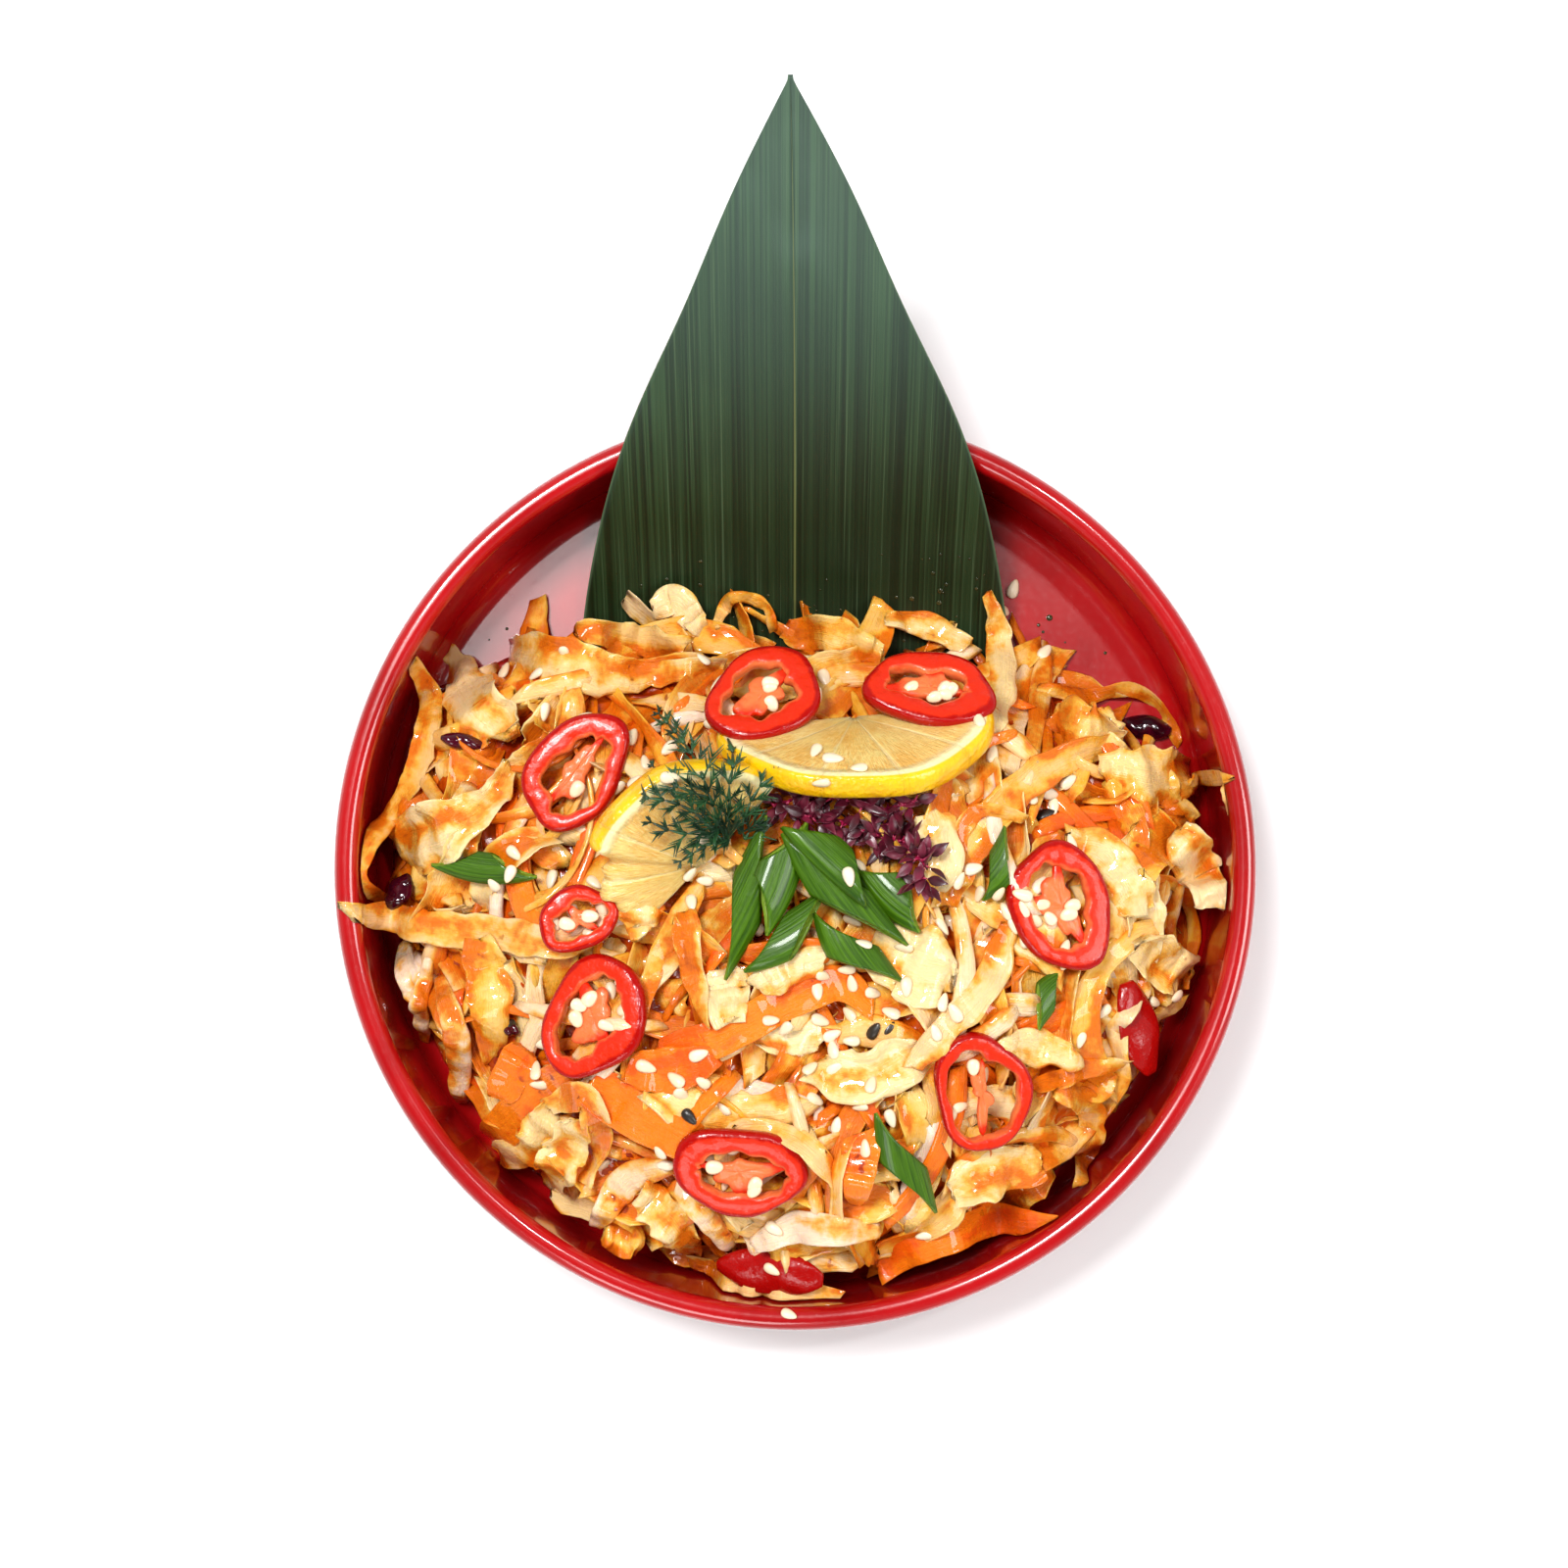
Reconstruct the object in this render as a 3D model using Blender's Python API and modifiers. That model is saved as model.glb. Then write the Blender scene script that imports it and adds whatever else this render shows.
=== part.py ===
"""Bowl of spicy cabbage salad with its leaf and garnish, as one solid for each sub-part.

Metres, +Z up. The origin is the middle of the bowl's flat foot, +Y points to the leaf at the back.
Run it with: blender --background --python part.py
"""

import math
import random

import bmesh
import bpy
from mathutils import Matrix, Vector, noise
from mathutils.bvhtree import BVHTree

MM = 0.001

# Bowl: straight-walled shallow dish of one thickness, millimetres.
RIM_RADIUS = 80.0
BOWL_HEIGHT = 34.0
WALL = 4.1
FLOOR_TOP = 8.0
FOOT_RADIUS = 47.0
FOOT_HEIGHT = 3.0
OUTER_CURVE = 11.0
INNER_CURVE = 3.5
RIM_ROUND = 1.9
BOWL_STEPS = 44

# Leaf: thin blade that rises from the floor at the back and leans out over the rim.
LEAF_START_Y = 27.5
LEAF_START_Z = FLOOR_TOP + 1.0
LEAF_LENGTH = 120.0
LEAF_HALF_WIDTH = 39.5
LEAF_TAPER_REACH = 100.0
LEAF_THICKNESS = 0.5
LEAF_ROWS = 15
LEAF_COLUMNS = 6
LEAF_SLOPES = ((0.0, 6.0), (18.0, 24.0), (36.0, 43.0), (58.0, 42.0), (90.0, 35.0), (120.0, 30.0))
LEAF_TROUGH = 0.0052
LEAF_MARGIN = 7.0  # how far beside it the heap still keeps off it

# Heap: its middle in plan, the lines that cut it off at the back, and its dome above the floor.
HEAP_X = 0.0
HEAP_Y = -15.0
HEAP_WALL_RADIUS = 73.8
HEAP_BACK_LINES = ((0.0, 40.0, 90.0), (53.0, 31.0, 62.0))  # a point on each line, and its outward bearing
HEAP_CORNER_POWER = 9.0
HEAP_HEIGHT = 41.0
HEAP_PLATEAU_POWER = 4.0
HEAP_SHOULDER_POWER = 0.7
HEAP_LUMP = 1.3
HEAP_LUMP_SIZE = 13.0
CORE_RINGS = 8
CORE_SPOKES = 36
CORE_UNDER_GAP = 0.5
GAP = 0.4

# Shreds and seeds that are fused to the heap.
SHRED_STATIONS = 4
SHRED_THICKNESS = 1.4
SCATTERED_SHREDS = 46
SEEDS = 34
SEED_SIZE = (3.4, 2.0, 1.1)
TRIES_EACH = 60

# Landmark shreds: x, y, heading, length, width, bend in degrees over the length.
LANDMARKS = (
    (-57.0, -10.0, -8.0, 44.0, 4.6, -10.0),
    (-63.0, 15.0, -92.0, 38.0, 4.2, -40.0),
    (-52.0, 28.0, -35.0, 18.0, 10.0, 10.0),
    (-38.0, 31.0, 3.0, 36.0, 8.5, 25.0),
    (-58.0, 4.0, 8.0, 22.0, 12.0, 40.0),
    (-57.0, -28.0, -80.0, 24.0, 5.0, 12.0),
    (-52.0, -30.0, -82.0, 22.0, 7.0, 8.0),
    (-45.0, -41.0, 38.0, 24.0, 7.5, 0.0),
    (-26.0, -40.0, -25.0, 25.0, 7.5, 6.0),
    (-4.0, -22.0, 24.0, 36.0, 5.4, -30.0),
    (22.0, -18.0, -12.0, 17.0, 10.0, 6.0),
    (12.0, -35.0, 12.0, 22.0, 9.0, 14.0),
    (30.0, -22.0, 55.0, 30.0, 5.0, 12.0),
    (43.0, -31.0, -15.0, 18.0, 7.0, 10.0),
    (33.0, 31.0, -72.0, 19.0, 6.5, 10.0),
    (57.0, 16.0, -25.0, 19.0, 10.0, 8.0),
    (49.0, 3.0, -30.0, 17.0, 10.0, 0.0),
    (69.0, -6.0, -78.0, 19.0, 7.0, 12.0),
    (25.0, 7.0, -80.0, 15.0, 7.5, 0.0),
    (31.0, -61.0, 20.0, 30.0, 5.0, -20.0),
    (7.0, -58.0, 8.0, 24.0, 5.6, 14.0),
    (-31.0, -54.0, 40.0, 19.0, 5.2, 8.0),
    (22.0, 41.0, -18.0, 14.0, 6.0, 0.0),
    (-16.0, 40.0, 25.0, 24.0, 3.2, -70.0),
    (60.0, 28.0, -28.0, 21.0, 3.0, -50.0),
    (-24.0, -64.0, -12.0, 20.0, 6.0, 10.0),
    (14.0, -66.0, 12.0, 20.0, 6.0, 14.0),
    (38.0, -56.0, 35.0, 24.0, 6.5, 10.0),
    (54.0, -41.0, 54.0, 20.0, 6.5, 10.0),
    (-42.0, -53.0, -38.0, 20.0, 6.5, 12.0),
    (-60.0, -32.0, -60.0, 20.0, 6.0, 10.0),
)

# Chilli rings: x, y, half length, half width, heading.
CHILLI_RINGS = (
    (-5.3, 29.2, 10.2, 8.4, 42.0),
    (22.4, 29.5, 11.0, 7.4, -8.0),
    (-36.8, 17.1, 10.8, 7.6, 55.0),
    (44.4, -6.0, 11.0, 8.6, 112.0),
    (-33.0, -24.4, 10.6, 8.4, 60.0),
    (31.4, -37.2, 10.6, 8.0, 110.0),
    (-9.4, -50.0, 11.2, 7.6, -6.0),
    (-37.0, -8.4, 6.6, 5.2, 20.0),
)
CHILLI_WALL = 3.2
CHILLI_THICKNESS = 3.0
CHILLI_SEGMENTS = 12
CHILLI_SECTION = 4

# Pieces of chilli skin: x, y, length, width, heading.
CHILLI_PIECES = (
    (-4.0, -66.3, 18.5, 8.5, -6.0),
    (57.6, -26.2, 17.0, 9.0, -70.0),
)
CHILLI_PIECE_THICKNESS = 1.4

# Spring onion, cut on the slant: x, y, heading, length, width.
ONION_SLICES = (
    (-8.0, -4.6, 65.0, 26.0, 6.4),
    (-3.0, -1.0, 70.0, 20.0, 6.4),
    (7.4, -3.6, -54.0, 26.0, 7.0),
    (-0.4, -11.2, 33.0, 18.0, 6.6),
    (9.4, -13.8, -56.0, 17.0, 7.0),
    (16.8, -3.8, -43.0, 15.0, 6.8),
    (5.8, 2.0, -48.0, 18.0, 6.2),
    (-52.3, 0.8, -6.0, 18.0, 5.2),
    (35.0, 0.6, 56.0, 12.0, 5.4),
    (42.0, -21.2, 48.0, 9.8, 5.2),
    (17.4, -49.2, -70.0, 20.5, 7.2),
)
ONION_THICKNESS = 1.2
ONION_ARCH = 1.5

# Lemon: half slices tipped up on their cut side. x, y of the cut side's middle, half length,
# depth from the cut to the peel, bearing of the peel, tilt above level.
LEMON_HALVES = (
    (9.2, 24.6, 23.0, 17.5, -86.0, 48.0),
    (-17.6, 2.6, 17.5, 18.5, 128.0, 30.0),
)
LEMON_THICKNESS = 4.6
LEMON_ARC_STEPS = 14

# Dill: fronds from one hub, each a bearing and a length; they follow what they lie on.
DILL_HUB = (-11.0, 6.0)
DILL_FRONDS = ((128.0, 25.0), (170.0, 15.0), (85.0, 12.0), (20.0, 8.0))
DILL_STEM_RADIUS = 0.5
DILL_STEP = 3.9
DILL_LEAFLET_LENGTH = 5.0
DILL_LEAFLET_RADIUS = 0.45
DILL_ANGLE = 42.0
DILL_STEEPEST = 0.8

# Purple microgreens: small leaves along a bent line.
GREENS_LINE = ((-4.5, 11.0), (2.0, 11.6), (8.0, 10.6), (13.5, 7.2), (18.0, 3.6), (21.5, 0.4))
GREENS_LEAVES = 13
GREENS_LEAF = (3.4, 2.0, 0.8)
GREENS_SPREAD = 2.4
GREENS_STEM_RADIUS = 0.5

REST_STEP = 0.25
REST_LIMIT = 30.0

# Linear base colours, roughness.
FINISHES = {
    "red_lacquer": ((0.52, 0.006, 0.006), 0.22),
    "leaf_green": ((0.03, 0.08, 0.025), 0.45),
    "dressed_cabbage": ((0.86, 0.50, 0.17), 0.40),
    "chilli_red": ((0.62, 0.02, 0.01), 0.25),
    "onion_green": ((0.07, 0.25, 0.02), 0.30),
    "lemon_yellow": ((0.86, 0.60, 0.03), 0.35),
    "dill_green": ((0.02, 0.12, 0.05), 0.50),
    "greens_purple": ((0.10, 0.01, 0.04), 0.45),
}


def clear_scene():
    """Removes every object of the startup scene."""
    for obj in list(bpy.data.objects):
        bpy.data.objects.remove(obj)


def collection(name):
    """A new collection in the scene."""
    made = bpy.data.collections.new(name)
    bpy.context.scene.collection.children.link(made)
    return made


def finish(name):
    """The material of that name: a Principled BSDF with its colour and roughness."""
    found = bpy.data.materials.get(name)
    if found:
        return found
    colour, roughness = FINISHES[name]
    material = bpy.data.materials.new(name)
    material.use_nodes = True
    shader = material.node_tree.nodes["Principled BSDF"]
    shader.inputs["Base Color"].default_value = (*colour, 1.0)
    shader.inputs["Roughness"].default_value = roughness
    return material


def add_object(bm, name, into, material):
    """Turns a bmesh in millimetres into a named object in metres, with its faces pointing out."""
    bmesh.ops.recalc_face_normals(bm, faces=bm.faces)
    bmesh.ops.scale(bm, vec=(MM, MM, MM), verts=bm.verts)
    mesh = bpy.data.meshes.new(name)
    bm.to_mesh(mesh)
    bm.free()
    mesh.materials.append(finish(material))
    obj = bpy.data.objects.new(name, mesh)
    into.objects.link(obj)
    return obj


def arc(centre, radius, start, end, count):
    """Points on a circle in the (radius, height) plane, from one bearing in degrees to another."""
    turns = [math.radians(start + (end - start) * i / (count - 1)) for i in range(count)]
    return [(centre[0] + radius * math.cos(t), centre[1] + radius * math.sin(t)) for t in turns]


def blend(low, high, share):
    """Smooth step from 0 to 1 as share goes from low to high."""
    t = min(1.0, max(0.0, (share - low) / (high - low)))
    return t * t * (3.0 - 2.0 * t)


# --- surfaces that carry things -------------------------------------------------------------


def leaf_slope(along):
    """The leaf's angle above level, in degrees, at a distance along its midline."""
    for (a, low), (b, high) in zip(LEAF_SLOPES, LEAF_SLOPES[1:]):
        if along <= b:
            return low + (high - low) * (along - a) / (b - a)
    return LEAF_SLOPES[-1][1]


def leaf_midline(rows):
    """(y, z) of points evenly spaced along the leaf's midline, from the hidden end to the tip."""
    fine = 10
    step = LEAF_LENGTH / ((rows - 1) * fine)
    y, z = LEAF_START_Y, LEAF_START_Z
    points = [(y, z)]
    for i in range((rows - 1) * fine):
        slope = math.radians(leaf_slope((i + 0.5) * step))
        y += step * math.cos(slope)
        z += step * math.sin(slope)
        if (i + 1) % fine == 0:
            points.append((y, z))
    return points


def leaf_point(midline, row, across):
    """A point of the leaf's sheet: across is -1 at its left edge and 1 at its right one."""
    y, z = midline[row]
    from_tip = max(0.0, midline[-1][0] - y)
    half = max(0.5, LEAF_HALF_WIDTH * math.sin(math.pi / 2 * min(1.0, from_tip / LEAF_TAPER_REACH)))
    x = half * across
    bent = blend(LEAF_START_Y - 5.0, RIM_RADIUS - 8.0, y)
    return Vector((x, y, z + LEAF_TROUGH * bent * x * x))


def leaf_height(x, y):
    """Height of the leaf's upper face over a point of the plan, or None beside it."""
    midline = leaf_midline(LEAF_ROWS)
    if not midline[0][0] - LEAF_MARGIN <= y <= midline[-1][0] or abs(x) > LEAF_HALF_WIDTH + LEAF_MARGIN:
        return None
    z = midline[0][1]
    for (y0, z0), (y1, z1) in zip(midline, midline[1:]):
        if y0 <= y <= y1:
            z = z0 + (z1 - z0) * (y - y0) / (y1 - y0)
    bent = blend(LEAF_START_Y - 5.0, RIM_RADIUS - 8.0, y)
    return z + LEAF_TROUGH * bent * x * x + LEAF_THICKNESS


def heap_reach(bearing):
    """Distance from the heap's middle to its edge: a round wall rounded off by the back lines."""
    dx, dy = math.cos(bearing), math.sin(bearing)
    along = HEAP_X * dx + HEAP_Y * dy
    beyond = HEAP_X**2 + HEAP_Y**2 - HEAP_WALL_RADIUS**2
    reaches = [-along + math.sqrt(along * along - beyond)]
    for x, y, normal in HEAP_BACK_LINES:
        nx, ny = math.cos(math.radians(normal)), math.sin(math.radians(normal))
        towards = dx * nx + dy * ny
        if towards > 0.02:
            reaches.append(((x - HEAP_X) * nx + (y - HEAP_Y) * ny) / towards)
    return sum(r**-HEAP_CORNER_POWER for r in reaches) ** (-1 / HEAP_CORNER_POWER)


def heap_top(x, y):
    """Height of the bare heap over a point of the plan; the floor outside it."""
    dx, dy = x - HEAP_X, y - HEAP_Y
    share = math.hypot(dx, dy) / heap_reach(math.atan2(dy, dx))
    if share >= 1.0:
        return FLOOR_TOP
    dome = (1.0 - share**HEAP_PLATEAU_POWER) ** HEAP_SHOULDER_POWER
    lump = noise.noise(Vector((x, y, 3.0)) / HEAP_LUMP_SIZE) * HEAP_LUMP * dome
    return FLOOR_TOP + HEAP_HEIGHT * dome + lump


def heap_bottom(x, y):
    """Height of the heap's underside: over the floor, and over the leaf where that runs beneath."""
    base = FLOOR_TOP + CORE_UNDER_GAP
    over_leaf = leaf_height(x, y)
    return base if over_leaf is None else max(base, over_leaf + 3 * CORE_UNDER_GAP)


def support(x, y):
    """Height of what a loose shred would lie on: heap, leaf, floor or rim."""
    from_axis = math.hypot(x, y)
    height = max(heap_top(x, y), FLOOR_TOP + CORE_UNDER_GAP)
    over_leaf = leaf_height(x, y)
    if over_leaf is not None:
        height = max(height, over_leaf + CORE_UNDER_GAP)
    if from_axis > RIM_RADIUS - WALL - 1.2:
        height = max(height, BOWL_HEIGHT + CORE_UNDER_GAP)
    return height


# --- dish and leaf --------------------------------------------------------------------------


def make_bowl(into):
    """Turns the bowl's section: floor, wall, rounded rim, outside and flat foot."""
    inner = RIM_RADIUS - WALL
    outer_low = FOOT_HEIGHT + OUTER_CURVE
    section = [(0.0, FLOOR_TOP), (inner * 0.5, FLOOR_TOP)]
    section += arc((inner - INNER_CURVE, FLOOR_TOP + INNER_CURVE), INNER_CURVE, -90.0, 0.0, 4)
    section += arc((inner + RIM_ROUND, BOWL_HEIGHT - RIM_ROUND), RIM_ROUND, 180.0, 90.0, 4)
    section += arc((RIM_RADIUS - RIM_ROUND, BOWL_HEIGHT - RIM_ROUND), RIM_ROUND, 90.0, 0.0, 4)
    section += arc((RIM_RADIUS - 1.2 - OUTER_CURVE, outer_low), OUTER_CURVE, 0.0, -90.0, 5)
    section += [(FOOT_RADIUS + 0.8, FOOT_HEIGHT), (FOOT_RADIUS, FOOT_HEIGHT - 0.8)]
    section += [(FOOT_RADIUS - 0.4, 0.0), (0.0, 0.0)]
    bm = bmesh.new()
    corners = [bm.verts.new((r, 0.0, z)) for r, z in section]
    for a, b in zip(corners, corners[1:]):
        bm.edges.new((a, b))
    bowl = add_object(bm, "bowl", into, "red_lacquer")
    turn = bowl.modifiers.new("Turned", "SCREW")
    turn.steps = turn.render_steps = BOWL_STEPS
    turn.use_merge_vertices = True
    turn.merge_threshold = 0.00005
    bowl.data.shade_smooth()
    return bowl


def make_leaf(into):
    """Bends a flat grid to the leaf's sheet and gives it its thickness."""
    midline = leaf_midline(LEAF_ROWS)
    bm = bmesh.new()
    bmesh.ops.create_grid(bm, x_segments=LEAF_COLUMNS, y_segments=LEAF_ROWS - 1, size=1.0)
    for v in bm.verts:
        row = round((v.co.y + 1.0) / 2.0 * (LEAF_ROWS - 1))
        v.co = leaf_point(midline, row, v.co.x)
    leaf = add_object(bm, "leaf", into, "leaf_green")
    sheet = leaf.modifiers.new("Blade", "SOLIDIFY")
    sheet.thickness = LEAF_THICKNESS * MM
    sheet.offset = 1.0
    leaf.data.shade_smooth()
    return leaf


# --- toppings -------------------------------------------------------------------------------


def tree_of(obj):
    """A search tree of the object's evaluated mesh, in world space."""
    graph = bpy.context.evaluated_depsgraph_get()
    evaluated = obj.evaluated_get(graph)
    mesh = evaluated.to_mesh()
    points = [obj.matrix_world @ v.co for v in mesh.vertices]
    faces = [tuple(p.vertices) for p in mesh.polygons]
    evaluated.to_mesh_clear()
    return BVHTree.FromPolygons(points, faces)


def slope_turn(x, y):
    """The rotation that lays a flat piece on the heap's slope at a point of the plan."""
    reach = 6.0
    rise_x = (heap_top(x + reach, y) - heap_top(x - reach, y)) / (2 * reach)
    rise_y = (heap_top(x, y + reach) - heap_top(x, y - reach)) / (2 * reach)
    normal = Vector((-rise_x, -rise_y, 1.0)).normalized()
    return Vector((0.0, 0.0, 1.0)).rotation_difference(normal).to_matrix().to_4x4()


def settle(obj, below):
    """Lifts a topping clear of the toppings that are there already, and counts it among them."""
    start = obj.location.z
    for step in range(int(REST_LIMIT / REST_STEP)):
        obj.location.z = start + step * REST_STEP * MM
        bpy.context.view_layer.update()
        here = tree_of(obj)
        if not any(here.overlap(other) for other in below):
            break
    if step:
        obj.location.z += GAP * MM
        bpy.context.view_layer.update()
    below.append(tree_of(obj))
    return obj


def lay(obj, x, y, heading, below, lean=True):
    """Puts a rigid topping down on the heap, leaning with its slope or upright."""
    turn = Matrix.Rotation(math.radians(heading), 4, "Z")
    if lean:
        turn = slope_turn(x, y) @ turn
    corners = [turn @ v.co / MM for v in obj.data.vertices]
    ends = [(corners[e.vertices[0]], corners[e.vertices[1]]) for e in obj.data.edges]
    points = corners + [a.lerp(b, share) for a, b in ends for share in (0.25, 0.5, 0.75)]
    height = max(support(x + p.x, y + p.y) + GAP - p.z for p in points)
    obj.data.transform(turn)
    obj.location = Vector((x, y, height)) * MM
    return settle(obj, below)


def make_chilli_ring(index, spec, into, below):
    """An oval ring of chilli: a torus with a few-sided section, squeezed to the slice's size."""
    x, y, half_length, half_width, heading = spec
    bpy.ops.mesh.primitive_torus_add(
        major_segments=CHILLI_SEGMENTS,
        minor_segments=CHILLI_SECTION,
        major_radius=1.0,
        minor_radius=0.5,
    )
    ring = bpy.context.object
    bm = bmesh.new()
    bm.from_mesh(ring.data)
    bpy.data.objects.remove(ring)
    for v in bm.verts:
        out = math.hypot(v.co.x, v.co.y)
        cos, sin = v.co.x / out, v.co.y / out
        inset = (1.5 - out) * CHILLI_WALL
        pinch = 1.0 + 0.06 * math.sin(3 * math.atan2(sin, cos) + index)
        v.co.x = cos * (half_length * pinch - inset)
        v.co.y = sin * (half_width * pinch - inset)
        v.co.z *= CHILLI_THICKNESS
    obj = add_object(bm, f"chilli_ring_{index}", into, "chilli_red")
    return lay(obj, x, y, heading, below)


def make_chilli_piece(index, spec, into, below):
    """A pointed piece of chilli skin, curved across like the pod it was cut from."""
    x, y, length, width, heading = spec
    bm = bmesh.new()
    bmesh.ops.create_grid(bm, x_segments=6, y_segments=4, size=1.0)
    for v in bm.verts:
        taper = 1.0 - 0.75 * abs(v.co.x) ** 2.2
        across = v.co.y * width / 2 * taper
        v.co = Vector((v.co.x * length / 2, across, 2.2 - 0.11 * across * across))
    bmesh.ops.solidify(bm, geom=bm.faces[:], thickness=CHILLI_PIECE_THICKNESS)
    obj = add_object(bm, f"chilli_piece_{index}", into, "chilli_red")
    return lay(obj, x, y, heading, below)


def make_onion_slice(index, spec, into, below):
    """A slanting slice of spring onion: a pointed oval of the hollow leaf, arched across."""
    x, y, heading, length, width = spec
    bm = bmesh.new()
    bmesh.ops.create_grid(bm, x_segments=5, y_segments=2, size=1.0)
    for v in bm.verts:
        taper = max(0.1, 1.0 - abs(v.co.x) ** 2.2)
        skew = 0.22 * width * v.co.x
        arch = ONION_ARCH * (1.0 - v.co.y**2) * taper
        v.co = Vector((v.co.x * length / 2, v.co.y * width / 2 * taper + skew, arch))
    bmesh.ops.solidify(bm, geom=bm.faces[:], thickness=ONION_THICKNESS)
    obj = add_object(bm, f"onion_slice_{index}", into, "onion_green")
    return lay(obj, x, y, heading, below)


def make_lemon_half(index, spec, into, below):
    """A half slice: half an ellipse given its thickness, then tipped so that its peel is high."""
    x, y, half_length, depth, bearing, tilt = spec
    bm = bmesh.new()
    turns = [math.pi * i / LEMON_ARC_STEPS for i in range(LEMON_ARC_STEPS + 1)]
    rim = [bm.verts.new((depth * math.sin(t), -half_length * math.cos(t), 0.0)) for t in turns]
    face = bm.faces.new(rim)
    raised = bmesh.ops.extrude_face_region(bm, geom=[face])["geom"]
    for v in raised:
        if isinstance(v, bmesh.types.BMVert):
            v.co.z = LEMON_THICKNESS
    bmesh.ops.rotate(bm, verts=bm.verts, matrix=Matrix.Rotation(-math.radians(tilt), 3, "Y"))
    obj = add_object(bm, f"lemon_half_{index}", into, "lemon_yellow")
    return lay(obj, x, y, bearing, below, lean=False)


def rod(bm, start, end, radius, tip_radius, sides=3):
    """A few-sided tapered rod from one point to another, added to the bmesh."""
    span = end - start
    turn = Vector((0.0, 0.0, 1.0)).rotation_difference(span).to_matrix().to_4x4()
    bmesh.ops.create_cone(
        bm,
        cap_ends=True,
        segments=sides,
        radius1=radius,
        radius2=tip_radius,
        depth=span.length,
        matrix=Matrix.Translation((start + end) / 2) @ turn,
    )


def fuse(seed_bm, pieces, name, into, material):
    """One solid from a first bmesh and a list of others, by a Boolean union on their collection."""
    parts = collection(name + "_parts")
    base = add_object(seed_bm, name, into, material)
    for number, piece in enumerate(pieces):
        add_object(piece, f"{name}_part_{number}", parts, material)
    join = base.modifiers.new("Fused", "BOOLEAN")
    join.operation = "UNION"
    join.solver = "MANIFOLD"
    join.operand_type = "COLLECTION"
    join.collection = parts
    graph = bpy.context.evaluated_depsgraph_get()
    fused = bpy.data.meshes.new_from_object(base.evaluated_get(graph))
    base.modifiers.clear()
    base.data = fused
    for obj in list(parts.objects):
        bpy.data.objects.remove(obj)
    bpy.data.collections.remove(parts)
    keep_outer_shell(base)
    return base


def keep_outer_shell(obj):
    """Keeps the largest connected surface, so that loose scraps and sealed hollows go."""
    bm = bmesh.new()
    bm.from_mesh(obj.data)
    bmesh.ops.remove_doubles(bm, verts=bm.verts, dist=0.000002)
    unseen, shells = set(bm.verts), []
    while unseen:
        edge, shell = [unseen.pop()], set()
        while edge:
            v = edge.pop()
            shell.add(v)
            for e in v.link_edges:
                other = e.other_vert(v)
                if other in unseen:
                    unseen.discard(other)
                    edge.append(other)
        shells.append(shell)
    largest = max(shells, key=len)
    bmesh.ops.delete(bm, geom=[v for v in bm.verts if v not in largest], context="VERTS")
    bmesh.ops.triangulate(bm, faces=bm.faces)
    bm.to_mesh(obj.data)
    bm.free()


def rod_piece(start, end, radius, tip_radius, sides=3):
    """A tapered rod as its own bmesh."""
    bm = bmesh.new()
    rod(bm, start, end, radius, tip_radius, sides)
    return bm


def drape(x, y, below):
    """Height of the highest thing over a point of the plan: a topping, or what carries it."""
    from_above = Vector((x * MM, y * MM, 1.0))
    hits = [tree.ray_cast(from_above, Vector((0.0, 0.0, -1.0)))[0] for tree in below]
    return max([support(x, y)] + [hit.z / MM for hit in hits if hit is not None])


def draped(x, y, reach, below):
    """A point that clears everything within a reach around it."""
    offsets = [(0.0, 0.0)] + [(reach * dx, reach * dy) for dx in (-1, 1) for dy in (-1, 1)]
    return Vector((x, y, max(drape(x + dx, y + dy, below) for dx, dy in offsets) + GAP))


def eased(points, steepest):
    """The points with the low ones raised until no stretch is steeper than the given rise."""
    for ahead, order in ((1, range(1, len(points))), (-1, range(len(points) - 2, -1, -1))):
        for i in order:
            other = points[i - ahead]
            run = math.hypot(points[i].x - other.x, points[i].y - other.y)
            points[i].z = max(points[i].z, other.z - steepest * run)
    return points


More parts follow.
